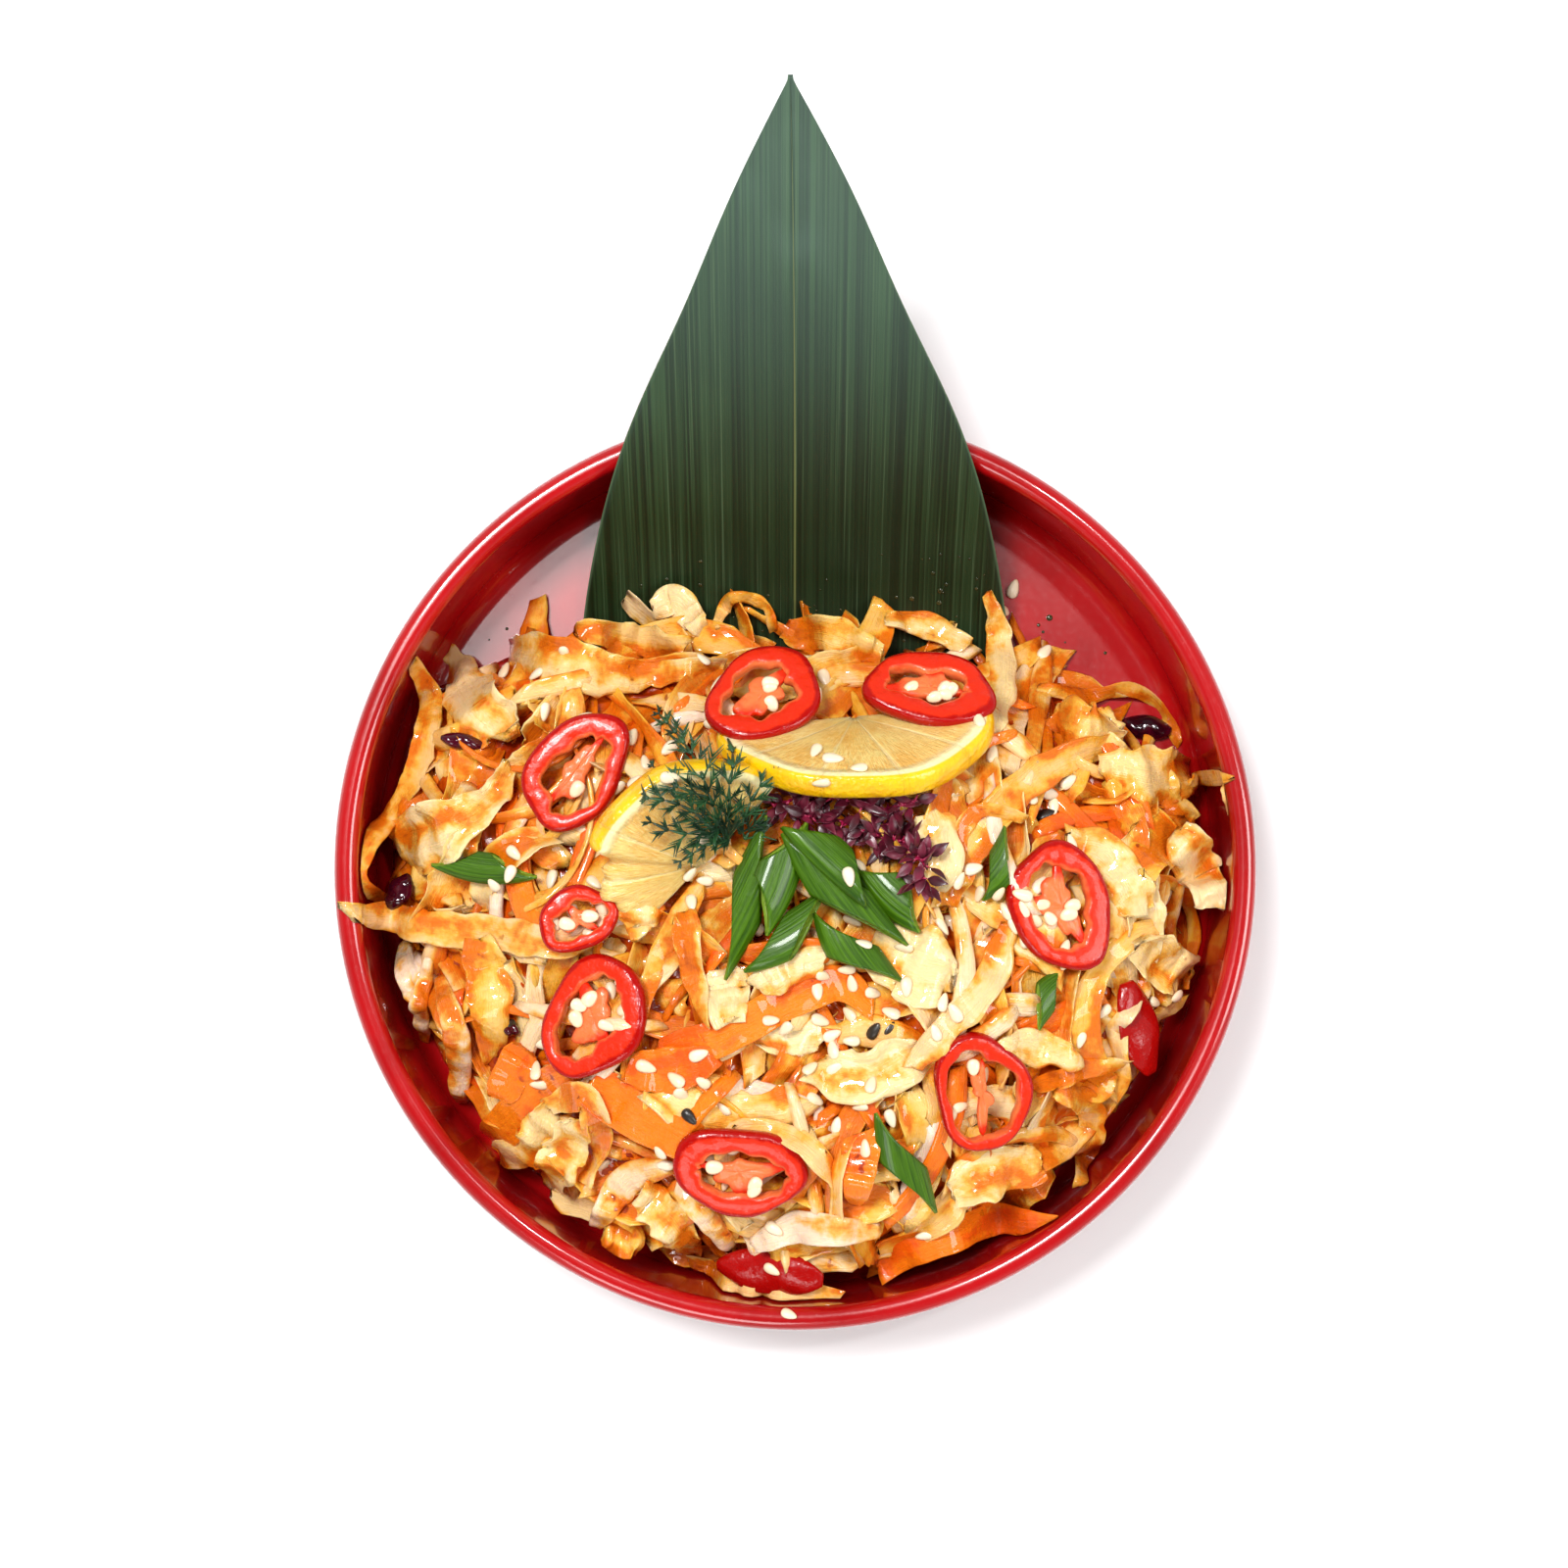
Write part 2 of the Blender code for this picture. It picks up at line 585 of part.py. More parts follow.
def make_dill(into, below):
    """A sprig: fronds from one hub, each a stem with paired, needle-like leaflets."""
    chance = random.Random(5)
    hub_x, hub_y = DILL_HUB
    stems = []
    for bearing, length in DILL_FRONDS:
        heading = math.radians(bearing)
        count = max(3, round(length / DILL_STEP))
        plan = [(hub_x + length * i / count * math.cos(heading),
                 hub_y + length * i / count * math.sin(heading)) for i in range(count + 1)]
        points = [draped(x, y, 1.2, below) + Vector((0.0, 0.0, DILL_STEM_RADIUS)) for x, y in plan]
        stems.append((heading, eased(points, DILL_STEEPEST)))
    for _ in range(3):
        top = max(points[0].z for _, points in stems)
        for _, points in stems:
            points[0].z = top
            eased(points, DILL_STEEPEST)
    hub = bmesh.new()
    place = Matrix.Translation(stems[0][1][0])
    bmesh.ops.create_icosphere(hub, subdivisions=1, radius=DILL_STEM_RADIUS * 1.7, matrix=place)
    pieces = []
    for heading, points in stems:
        for a, b in zip(points, points[1:]):
            overlap = (b - a).normalized() * DILL_STEM_RADIUS * 0.6
            pieces.append(rod_piece(a - overlap, b + overlap, DILL_STEM_RADIUS, DILL_STEM_RADIUS * 0.9))
        for i, root in enumerate(points[1:-1], 1):
            size = DILL_LEAFLET_LENGTH * (1.2 - 0.7 * i / len(points)) * chance.uniform(0.85, 1.15)
            for side in (-1, 1):
                away = heading + side * math.radians(DILL_ANGLE + chance.uniform(-8, 8))
                plan = root + size * Vector((math.cos(away), math.sin(away), 0.0))
                height = drape(plan.x, plan.y, below) + GAP + DILL_LEAFLET_RADIUS
                end = Vector((plan.x, plan.y, max(height, root.z - 0.5 * size)))
                pieces.append(rod_piece(root, end, DILL_LEAFLET_RADIUS, 0.2))
    obj = fuse(hub, pieces, "dill_sprig", into, "dill_green")
    return settle(obj, below)


def make_greens(into, below):
    """A drift of tiny leaves on a thread-like stem that follows a bent line."""
    chance = random.Random(11)
    line = [draped(x, y, 1.0, below) + Vector((0.0, 0.0, GREENS_STEM_RADIUS)) for x, y in GREENS_LINE]
    line = eased(line, DILL_STEEPEST)
    pieces = []
    for a, b in zip(line, line[1:]):
        overlap = (b - a).normalized() * GREENS_STEM_RADIUS * 0.6
        pieces.append(rod_piece(a - overlap, b + overlap, GREENS_STEM_RADIUS, GREENS_STEM_RADIUS, 4))
    for i in range(GREENS_LEAVES):
        place = (i + 0.5) / GREENS_LEAVES * (len(line) - 1)
        root = line[int(place)].lerp(line[int(place) + 1], place - int(place))
        away = Vector((chance.uniform(-1, 1), chance.uniform(-1, 1), chance.uniform(0.1, 0.9)))
        end = root + away.normalized() * chance.uniform(0.6, 1.0) * GREENS_SPREAD
        pieces.append(rod_piece(root, end, 0.3, 0.3))
        leaf = bmesh.new()
        turn = Matrix.Rotation(chance.uniform(0, math.tau), 4, "Z")
        tilt = Matrix.Rotation(chance.uniform(-0.5, 0.5), 4, "X")
        bmesh.ops.create_icosphere(leaf, subdivisions=1, radius=0.5)
        bmesh.ops.scale(leaf, vec=GREENS_LEAF, verts=leaf.verts)
        bmesh.ops.transform(leaf, matrix=Matrix.Translation(end) @ turn @ tilt, verts=leaf.verts)
        pieces.append(leaf)
    obj = fuse(pieces.pop(0), pieces, "purple_greens", into, "greens_purple")
    return settle(obj, below)


# --- the heap -------------------------------------------------------------------------------


def make_core():
    """The bare heap: rings and spokes over its plan, domed above and flat, or over the leaf, below."""
    bm = bmesh.new()
    bearings = [math.tau * i / CORE_SPOKES for i in range(CORE_SPOKES)]

    def layer(height, gap):
        """One face of the heap, from its middle out to its edge."""
        centre = bm.verts.new((HEAP_X, HEAP_Y, height(HEAP_X, HEAP_Y)))
        rings = []
        for ring in range(1, CORE_RINGS + 1):
            share = (1.0 - (1.0 - ring / CORE_RINGS) ** 1.5) * gap
            row = []
            for bearing in bearings:
                reach = heap_reach(bearing) * share
                x, y = HEAP_X + reach * math.cos(bearing), HEAP_Y + reach * math.sin(bearing)
                row.append(bm.verts.new((x, y, height(x, y))))
            rings.append(row)
        for i in range(CORE_SPOKES):
            j = (i + 1) % CORE_SPOKES
            bm.faces.new((centre, rings[0][i], rings[0][j]))
            for inner, outer in zip(rings, rings[1:]):
                bm.faces.new((inner[i], outer[i], outer[j], inner[j]))
        return rings[-1]

    top = layer(lambda x, y: max(heap_top(x, y), heap_bottom(x, y) + 2.0), 0.985)
    bottom = layer(heap_bottom, 0.985)
    for i in range(CORE_SPOKES):
        j = (i + 1) % CORE_SPOKES
        bm.faces.new((top[i], top[j], bottom[j], bottom[i]))
    return bm


def make_shred(x, y, heading, length, width, bend, lift, roll, thickness=SHRED_THICKNESS):
    """A strip that lies on what is under it: a narrow grid bent to its path, with a thickness."""
    last = SHRED_STATIONS - 1
    path, bearings = [], []
    for i in range(SHRED_STATIONS):
        bearings.append(math.radians(heading + bend * (i / last - 0.5)))
    px = py = 0.0
    for i in range(SHRED_STATIONS):
        path.append([px, py])
        px += length / last * math.cos(bearings[i])
        py += length / last * math.sin(bearings[i])
    mid_x, mid_y = sum(p[0] for p in path) / len(path), sum(p[1] for p in path) / len(path)
    path = [(x + px - mid_x, y + py - mid_y) for px, py in path]
    heights = [support(px, py) for px, py in path]
    for _ in range(4):
        ends = [heights[0], *heights, heights[-1]]
        heights = [max(h, (a + b) / 2) for a, h, b in zip(ends, heights, ends[2:])]
    bm = bmesh.new()
    bmesh.ops.create_grid(bm, x_segments=last, y_segments=1, size=1.0)
    for v in bm.verts:
        i = round((v.co.x + 1.0) / 2.0 * last)
        share = i / last
        px, py = path[i]
        lean = math.radians(roll) * math.sin(math.pi * share + 0.6)
        half = width / 2 * (0.45 + 0.55 * math.sin(math.pi * (0.15 + 0.7 * share)))
        side = v.co.y * half
        arch = lift * math.sin(math.pi * share)
        across = side * math.cos(lean)
        v.co = Vector((
            px - across * math.sin(bearings[i]),
            py + across * math.cos(bearings[i]),
            heights[i] + arch + side * math.sin(lean) - 0.25 * thickness,
        ))
    bmesh.ops.solidify(bm, geom=bm.faces[:], thickness=-thickness)
    return bm


def meets(bm, trees):
    """Whether a piece in millimetres crosses any of the search trees, which are in metres."""
    points = [v.co * MM for v in bm.verts]
    faces = [tuple(v.index for v in f.verts) for f in bm.faces]
    tree = BVHTree.FromPolygons(points, faces)
    return any(tree.overlap(other) for other in trees)


def clear_of(build, trees):
    """Whether the shred that build makes stays clear of the trees, even when it is a gap thicker."""
    grown = build(SHRED_THICKNESS + 2 * GAP, 2 * GAP)
    grown.verts.index_update()
    crossing = meets(grown, trees)
    grown.free()
    return not crossing


def shreds(trees):
    """The landmark shreds, then others spread evenly over the heap by a seeded rule."""
    chance = random.Random(21)
    made = []

    def offer(x, y, heading, length, width, bend, lift, roll):
        """Adds the shred if it stays clear, else a shorter one, and says whether it did."""
        for cut in (1.0, 0.75, 0.5):
            def build(thickness, extra, cut=cut):
                """The shred at this cut, extra wide and thick for a test."""
                return make_shred(
                    x, y, heading, length * cut + extra, width + extra, bend * cut, lift, roll, thickness
                )
            if clear_of(build, trees):
                made.append(build(SHRED_THICKNESS, 0.0))
                return True
        return False

    for x, y, heading, length, width, bend in LANDMARKS:
        for shift in (0.0, 3.0, -3.0, 6.0):
            turn = math.radians(heading + 90.0)
            if offer(x + shift * math.cos(turn), y + shift * math.sin(turn), heading, length, width, bend, 1.4, 22.0):
                break
    golden = math.pi * (3.0 - math.sqrt(5.0))
    wanted = SCATTERED_SHREDS
    for i in range(wanted):
        for attempt in range(TRIES_EACH):
            bearing = i * golden + attempt * 0.37
            share = math.sqrt((i + 0.5) / wanted) * chance.uniform(0.9, 1.02)
            reach = heap_reach(bearing) * share
            x, y = HEAP_X + reach * math.cos(bearing), HEAP_Y + reach * math.sin(bearing)
            heading = chance.uniform(0.0, 360.0)
            if share > 0.8:
                heading = math.degrees(bearing) + 90.0 + chance.uniform(-50.0, 50.0)
            length = chance.uniform(13.0, 26.0)
            width = chance.uniform(2.6, 6.5)
            bend = chance.uniform(-70.0, 70.0)
            if offer(x, y, heading, length, width, bend, chance.uniform(0.6, 3.2), chance.uniform(-55.0, 55.0)):
                break
    return made


def seeds(trees):
    """Sesame seeds scattered over the heap by a seeded rule, thicker towards its middle."""
    chance = random.Random(33)
    made = []
    for i in range(SEEDS):
        for _ in range(TRIES_EACH):
            bearing = chance.uniform(0.0, math.tau)
            reach = heap_reach(bearing) * chance.uniform(0.0, 0.92) ** 0.65
            x, y = HEAP_X + reach * math.cos(bearing), HEAP_Y + reach * math.sin(bearing)
            turn = slope_turn(x, y) @ Matrix.Rotation(chance.uniform(0.0, math.tau), 4, "Z")
            place = Matrix.Translation((x, y, heap_top(x, y) + 0.25)) @ turn
            seed = bmesh.new()
            bmesh.ops.create_icosphere(seed, subdivisions=1, radius=0.5)
            bmesh.ops.scale(seed, vec=SEED_SIZE, verts=seed.verts)
            fat = seed.copy()
            bmesh.ops.scale(fat, vec=(1.3, 1.5, 1.9), verts=fat.verts)
            for bm in (seed, fat):
                bmesh.ops.transform(bm, matrix=place, verts=bm.verts)
            crossing = meets(fat, trees)
            fat.free()
            if not crossing:
                made.append(seed)
                break
            seed.free()
    return made


def make_salad(into, carried, toppings):
    """The heap with its shreds and seeds fused on, clear of the dish, the leaf and the toppings."""
    trees = [tree_of(obj) for obj in carried] + toppings
    return fuse(make_core(), shreds(trees) + seeds(trees), "salad", into, "dressed_cabbage")


def main():
    """Builds the bowl, the leaf, the toppings and then the heap that carries them."""
    clear_scene()
    parts = collection("cabbage_salad_bowl")
    bowl = make_bowl(parts)
    leaf = make_leaf(parts)
    bpy.context.view_layer.update()
    below = []
    for index, spec in enumerate(LEMON_HALVES, 1):
        make_lemon_half(index, spec, parts, below)
    for index, spec in enumerate(CHILLI_RINGS, 1):
        make_chilli_ring(index, spec, parts, below)
    for index, spec in enumerate(CHILLI_PIECES, 1):
        make_chilli_piece(index, spec, parts, below)
    for index, spec in enumerate(ONION_SLICES, 1):
        make_onion_slice(index, spec, parts, below)
    make_dill(parts, below)
    make_greens(parts, below)
    make_salad(parts, [bowl, leaf], below)


main()
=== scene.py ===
"""Bowl of spicy cabbage salad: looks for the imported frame.

A red lacquered bowl, heaped with cut cabbage and carrot in a red dressing, set with chilli rings,
a slit lemon slice, spring onion, dill, purple greens and sesame, with a pointed leaf behind.
Sizes are millimetres until a mesh is made. +Z is up and +Y points to the leaf.
"""

from __future__ import annotations

import itertools
import logging
import math
from dataclasses import dataclass, field
from enum import Enum
from typing import Any, Callable, NamedTuple

import bpy
import numpy as np
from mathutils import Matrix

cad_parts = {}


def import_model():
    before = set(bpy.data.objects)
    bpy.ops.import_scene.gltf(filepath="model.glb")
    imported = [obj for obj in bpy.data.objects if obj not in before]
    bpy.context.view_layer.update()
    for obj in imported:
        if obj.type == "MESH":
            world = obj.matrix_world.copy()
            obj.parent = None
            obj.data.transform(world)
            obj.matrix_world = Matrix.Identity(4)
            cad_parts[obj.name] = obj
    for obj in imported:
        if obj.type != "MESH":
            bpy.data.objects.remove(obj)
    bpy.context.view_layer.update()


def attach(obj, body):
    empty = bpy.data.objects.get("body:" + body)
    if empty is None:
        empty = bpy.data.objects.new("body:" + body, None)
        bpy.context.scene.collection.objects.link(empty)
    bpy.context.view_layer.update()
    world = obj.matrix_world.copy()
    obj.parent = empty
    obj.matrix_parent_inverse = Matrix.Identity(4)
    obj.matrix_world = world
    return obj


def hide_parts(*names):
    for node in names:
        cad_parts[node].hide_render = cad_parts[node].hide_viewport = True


log = logging.getLogger("salad_bowl")

Array = np.ndarray
Chance = np.random.Generator
MM = 0.001
ROOT = "root"
TAU = 2.0 * math.pi

# --- the bowl and the heap, as the solids have them ---

RIM_RADIUS = 80.0
RIM_HEIGHT = 34.0
WALL = 4.1
FLOOR_TOP = 8.0
HEAP_MIDDLE = np.array([0.0, -15.0])
HEAP_WALL_RADIUS = 73.8
HEAP_BACK_LINES = ((0.0, 40.0, 90.0), (53.0, 31.0, 62.0))
HEAP_CORNER_POWER = 9.0
HEAP_HEIGHT = 41.0
HEAP_PLATEAU_POWER = 4.0
HEAP_SHOULDER_POWER = 0.7

LEAF_START = (27.5, FLOOR_TOP + 1.0)
LEAF_LENGTH = 120.0
LEAF_HALF_WIDTH = 39.5
LEAF_TAPER_REACH = 100.0
LEAF_SLOPES = ((0.0, 6.0), (18.0, 24.0), (36.0, 43.0), (58.0, 42.0), (90.0, 35.0), (120.0, 30.0))
LEAF_TROUGH = 0.0052
LEAF_THICKNESS = 0.5

# --- the view ---

VIEW_PIXELS = 1600.0
VIEW_MM_PER_PIXEL = 0.1694
VIEW_AXIS = (-1.95, 14.8)
VIEW_HEIGHT = 450.0
EDGE_LEVEL = 25.0
SPOT_MARGIN = 1.5

# --- how finely curves are read, and how pieces lie ---

CURVE_SAMPLES = 12
MIDLINE_SAMPLES = 8
CLEARANCE = 0.4
UPRIGHTNESS = 0.8
TOUCHING_PERCENT = 96


# --- arrays ---


def smooth_step(low: float, high: float, value: Array | float) -> Array:
    """Rises from 0 at low to 1 at high as 3t^2 - 2t^3."""
    t = np.clip((np.asarray(value, float) - low) / (high - low), 0.0, 1.0)
    return t * t * (3.0 - 2.0 * t)


def unit(vectors: Array) -> Array:
    """The vectors, each divided by its length."""
    return vectors / np.maximum(np.linalg.norm(vectors, axis=-1, keepdims=True), 1e-9)


def circle(count: int) -> Array:
    """Bearings, in radians, of even steps once round."""
    return np.linspace(0.0, TAU, count, endpoint=False)


def compass(bearing: Array) -> Array:
    """Unit vectors in plan, (cos, sin) of each bearing."""
    return np.stack([np.cos(bearing), np.sin(bearing)], axis=-1)


def squared(value: Array, power: float) -> Array:
    """The values with their sizes raised to a power below 1, which squares a round section off."""
    return np.sign(value) * np.abs(value) ** power


def together(*parts: Array) -> Array:
    """The parts, spread to one shape and stacked on a new last axis."""
    return np.stack(np.broadcast_arrays(*parts), axis=-1)


def over(plan: Array, height: Array) -> Array:
    """(..., 3) points over (..., 2) places, at the given heights."""
    return together(plan[..., 0], plan[..., 1], height)


def spanned(axes: tuple, parts: tuple, start: Any = 0.0) -> Array:
    """Points start + part x axis + ..., from (k, 3) axes and parts that spread to (k, n, m)."""
    return sum((axis[:, None, None] * part[..., None] for axis, part in zip(axes, parts)), start)


def ripple(points: Array, size: float, seed: int, fade: float = 1.6) -> Array:
    """Smooth lumps between about -1 and 1: five sine waves of random heading, summed.

    Args:
        points: (..., 2) or (..., 3) places.
        size: wavelength of the broadest wave.
        seed: picks the headings and phases.
        fade: how much weaker each shorter wave is than the one before.

    Returns:
        One height for each place.
    """
    chance = np.random.default_rng(seed)
    total = np.zeros(points.shape[:-1])
    for octave in range(5):
        heading = unit(chance.normal(size=points.shape[-1]))
        wave = TAU / size * 1.45**octave
        total += np.sin(points @ heading * wave + chance.uniform(0, TAU)) / fade**octave
    return total * (1.0 - 1.0 / fade) * 1.2


def along_curve(points: Array, count: int) -> Array:
    """Points on the Catmull-Rom curve through the given ones.

    Args:
        points: (k, d) control points, k at least 2.
        count: how many points to return.

    Returns:
        (count, d) points, spaced evenly by length.
    """
    points = np.asarray(points, float)
    ends = np.concatenate([2 * points[:1] - points[1:2], points, 2 * points[-1:] - points[-2:-1]])
    place = np.linspace(0.0, len(points) - 1 - 1e-6, CURVE_SAMPLES * len(points))
    i = place.astype(int)
    t = (place - i)[:, None]
    a, b, c, d = (ends[i + k] for k in range(4))
    fine = 0.5 * (2 * b + (c - a) * t + (2 * a - 5 * b + 4 * c - d) * t**2 + (3 * b - a - 3 * c + d) * t**3)
    reach = np.concatenate([[0.0], np.cumsum(np.linalg.norm(np.diff(fine, axis=0), axis=1))])
    wanted = np.linspace(0.0, reach[-1], count)
    return np.stack([np.interp(wanted, reach, fine[:, k]) for k in range(fine.shape[1])], axis=1)


def denser(grid: Array, times: int) -> Array:
    """The grid with its first two axes filled in linearly, times as dense.

    Args:
        grid: (n, m, d) points.
        times: how many steps each step becomes.

    Returns:
        ((n - 1) * times + 1, (m - 1) * times + 1, d) points.
    """
    for axis in (0, 1):
        place = np.linspace(0.0, grid.shape[axis] - 1, (grid.shape[axis] - 1) * times + 1)
        low = np.minimum(place.astype(int), grid.shape[axis] - 2)
        share = (place - low).reshape([-1 if k == axis else 1 for k in range(3)])
        grid = np.take(grid, low, axis) * (1 - share) + np.take(grid, low + 1, axis) * share
    return grid


def turned(points: Array, degrees: float, axis: int) -> Array:
    """The points turned about an axis by the right-hand rule.

    Args:
        points: (..., 3) points.
        degrees: the angle.
        axis: 0 for X to 2 for Z.

    Returns:
        The turned points.
    """
    cos, sin = compass(math.radians(degrees))
    j, k = (axis + 1) % 3, (axis + 2) % 3
    out = points.copy()
    out[..., j] = cos * points[..., j] - sin * points[..., k]
    out[..., k] = sin * points[..., j] + cos * points[..., k]
    return out


def from_view(column: float, row: float) -> Array:
    """Where a place in the view lies in plan, on the heap's surface.

    The view looks straight down, so a place at a height h above the rim shows
    VIEW_HEIGHT / (VIEW_HEIGHT - h) times as far from the view's axis. Pieces at the heap's foot
    lean on the bowl's wall, so they count as lying at least at EDGE_LEVEL.

    Args:
        column: pixels from the view's left edge.
        row: pixels from its top edge.

    Returns:
        (x, y) in millimetres, inside the bowl's rim.
    """
    half = VIEW_PIXELS / 2
    offset = np.array([column - half, half - row]) * VIEW_MM_PER_PIXEL
    place = np.array(VIEW_AXIS) + offset
    for _ in range(2):
        above = max(float(heap_target(place[None])[0]), EDGE_LEVEL) - RIM_HEIGHT
        place = np.array(VIEW_AXIS) + offset * (VIEW_HEIGHT - above) / VIEW_HEIGHT
    return place * min(1.0, (RIM_RADIUS - SPOT_MARGIN) / math.hypot(*place))


def plan_of(places: Any) -> Array:
    """(n, 2) plan positions of several places in the view."""
    return np.array([from_view(*place) for place in places])


def heap_rings(shares: Array, count: int, scale: float) -> Array:
    """(n, count, 2) places on rings round the heap's middle, each at a share of its scaled reach."""
    turn = circle(count)
    return HEAP_MIDDLE + shares[:, None, None] * (heap_reach(turn) * scale)[:, None] * compass(turn)


# --- the carrying surfaces ---


def heap_reach(bearing: Array) -> Array:
    """How far the heap goes from its middle: a round wall, cut off at the back by soft lines.

    The reach r is the power mean (r1^-p + r2^-p + ...)^(-1/p) of the ways to the wall and lines.

    Args:
        bearing: directions from the middle, in radians.

    Returns:
        The reach in each direction.
    """
    ahead = compass(bearing)
    along = ahead @ HEAP_MIDDLE
    beyond = HEAP_MIDDLE @ HEAP_MIDDLE - HEAP_WALL_RADIUS**2
    total = (-along + np.sqrt(along**2 - beyond)) ** -HEAP_CORNER_POWER
    for x, y, normal in HEAP_BACK_LINES:
        out = compass(math.radians(normal))
        towards = np.maximum(ahead @ out, 0.02)
        total += (((x, y) - HEAP_MIDDLE) @ out / towards) ** -HEAP_CORNER_POWER
    return total ** (-1 / HEAP_CORNER_POWER)


def heap_target(places: Array) -> Array:
    """Height of the heap over (..., 2) places: a dome (1 - s^4)^0.7 on the share s of its reach.

    Args:
        places: (..., 2) places.

    Returns:
        The height over each.
    """
    away = places - HEAP_MIDDLE
    share = np.linalg.norm(away, axis=-1) / heap_reach(np.arctan2(away[..., 1], away[..., 0]))
    dome = np.maximum(1.0 - share**HEAP_PLATEAU_POWER, 0.0) ** HEAP_SHOULDER_POWER
    return FLOOR_TOP + HEAP_HEIGHT * dome


def leaf_midline(count: int) -> Array:
    """(y, z) of points on the leaf's midline: its slope, read off LEAF_SLOPES, summed up.

    Args:
        count: number of points.

    Returns:
        (count, 2) points.
    """
    fine = count * MIDLINE_SAMPLES
    along = np.linspace(0.0, LEAF_LENGTH, fine)
    table = np.array(LEAF_SLOPES)
    slope = np.radians(np.interp(along, table[:, 0], table[:, 1]))
    step = LEAF_LENGTH / (fine - 1)
    ways = np.cumsum(compass(slope[:-1]) * step, axis=0)
    wanted = np.linspace(0.0, LEAF_LENGTH, count)
    y, z = (start + np.concatenate([[0.0], way]) for start, way in zip(LEAF_START, ways.T))
    return together(np.interp(wanted, along, y), np.interp(wanted, along, z))


def leaf_half_width(from_tip: Array) -> Array:
    """Half width of the leaf: a quarter sine wave of the way from its tip, drawn in at 30 mm."""
    width = LEAF_HALF_WIDTH * (1.0 - 0.07 * np.exp(-(((from_tip - 30.0) / 15.0) ** 2)))
    return np.maximum(0.5, width * np.sin(math.pi / 2 * np.clip(from_tip / LEAF_TAPER_REACH, 0.0, 1.0)))


def leaf_rise(x: Array, y: Array) -> Array:
    """How far the leaf's trough lifts it beside its midline: k x^2, growing towards the rim."""
    return LEAF_TROUGH * smooth_step(LEAF_START[0] - 5.0, RIM_RADIUS - 8.0, y) * x * x


# --- meshes ---


@dataclass
class Shape:
    """Points, faces and named per-point numbers of a mesh, in millimetres."""

    points: Array
    faces: list[list[int]]
    marks: dict[str, Array] = field(default_factory=dict)

    @staticmethod
    def joined(shapes: list["Shape"]) -> "Shape":
        """One shape of several, their faces renumbered.

        Args:
            shapes: shapes that carry the same marks.

        Returns:
            The joined shape.
        """
        starts = np.concatenate([[0], np.cumsum([len(s.points) for s in shapes])])
        faces = [[v + start for v in face] for s, start in zip(shapes, starts.tolist()) for face in s.faces]
        marks = {name: np.concatenate([s.marks[name] for s in shapes]) for name in shapes[0].marks}
        return Shape(np.concatenate([s.points for s in shapes]), faces, marks)


def listed(*corners: Array) -> list[list[int]]:
    """The faces whose corners are given as arrays of point numbers."""
    return together(*corners).reshape(-1, len(corners)).tolist()


def tubes(rings: Array, marks: dict[str, Array] | None = None) -> Shape:
    """Closes stacks of rings into tubes, each end with a fan to the middle of its last ring.

    Args:
        rings: (k, n, m, 3): k tubes of n rings of m points, each ring anticlockwise about the way on.
        marks: numbers for the points, by name, that spread to (k, n, m).

    Returns:
        One shape with all the tubes.
    """
    k, n, m = rings.shape[:3]
    ends = rings[:, [0, -1]].mean(axis=2)
    points = np.concatenate([rings.reshape(k, n * m, 3), ends], axis=1)
    base = np.arange(k)[:, None, None] * (n * m + 2)
    row, j = base + np.arange(n - 1)[:, None] * m, np.arange(m)
    after = (j + 1) % m
    foot, top = base[..., 0], base[..., 0] + (n - 1) * m
    faces = listed(row + j, row + after, row + m + after, row + m + j)
    faces += listed(foot + after, foot + j, foot + n * m) + listed(top + j, top + after, foot + n * m + 1)
    spread = {}
    for name, values in (marks or {}).items():
        values = np.broadcast_to(values, (k, n, m))
        at_ends = values[:, [0, -1]].mean(axis=2)
        spread[name] = np.concatenate([values.reshape(k, n * m), at_ends], axis=1).ravel()
    return Shape(points.reshape(-1, 3), faces, spread)


def looped(grid: Array, marks: dict[str, Array] | None = None) -> Shape:
    """Closes a grid of points on itself both ways round, as on a ring.

    Args:
        grid: (n, m, 3) points.
        marks: numbers for the points, by name, that spread to (n, m).

    Returns:
        The closed shape.
    """
    n, m = grid.shape[:2]
    i, j = np.arange(n)[:, None], np.arange(m)[None]
    ahead, after = (i + 1) % n, (j + 1) % m
    faces = listed(i * m + j, ahead * m + j, ahead * m + after, i * m + after)
    spread = {name: np.broadcast_to(v, (n, m)).ravel() for name, v in (marks or {}).items()}
    return Shape(grid.reshape(-1, 3), faces, spread)


def add_piece(
    name: str, shape: Shape, material: bpy.types.Material, slot: str = "dressed_cabbage", *replaced: str
) -> None:
    """Makes a piece of the object from a shape and declares what it stands for.

    Args:
        name: the piece's name.
        shape: its mesh, in millimetres.
        material: its finish.
        slot: a material slot of the record; not used.
        replaced: the solids that it replaces.
    """
    mesh = bpy.data.meshes.new(name)
    mesh.from_pydata((shape.points * MM).tolist(), [], shape.faces)
    for mark, values in shape.marks.items():
        layer = mesh.attributes.new(mark, "FLOAT", "POINT")
        layer.data.foreach_set("value", np.ascontiguousarray(values, np.float32))
    mesh.polygons.foreach_set("use_smooth", np.ones(len(mesh.polygons), bool))
    mesh.materials.append(material)
    mesh.validate()
    mesh.update()
    piece = bpy.data.objects.new(name, mesh)
    bpy.context.scene.collection.objects.link(piece)
    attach(piece, ROOT)
    if replaced:
        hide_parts(*replaced)
    log.info("%s: %d faces", name, len(mesh.polygons))


# --- shader arithmetic ---


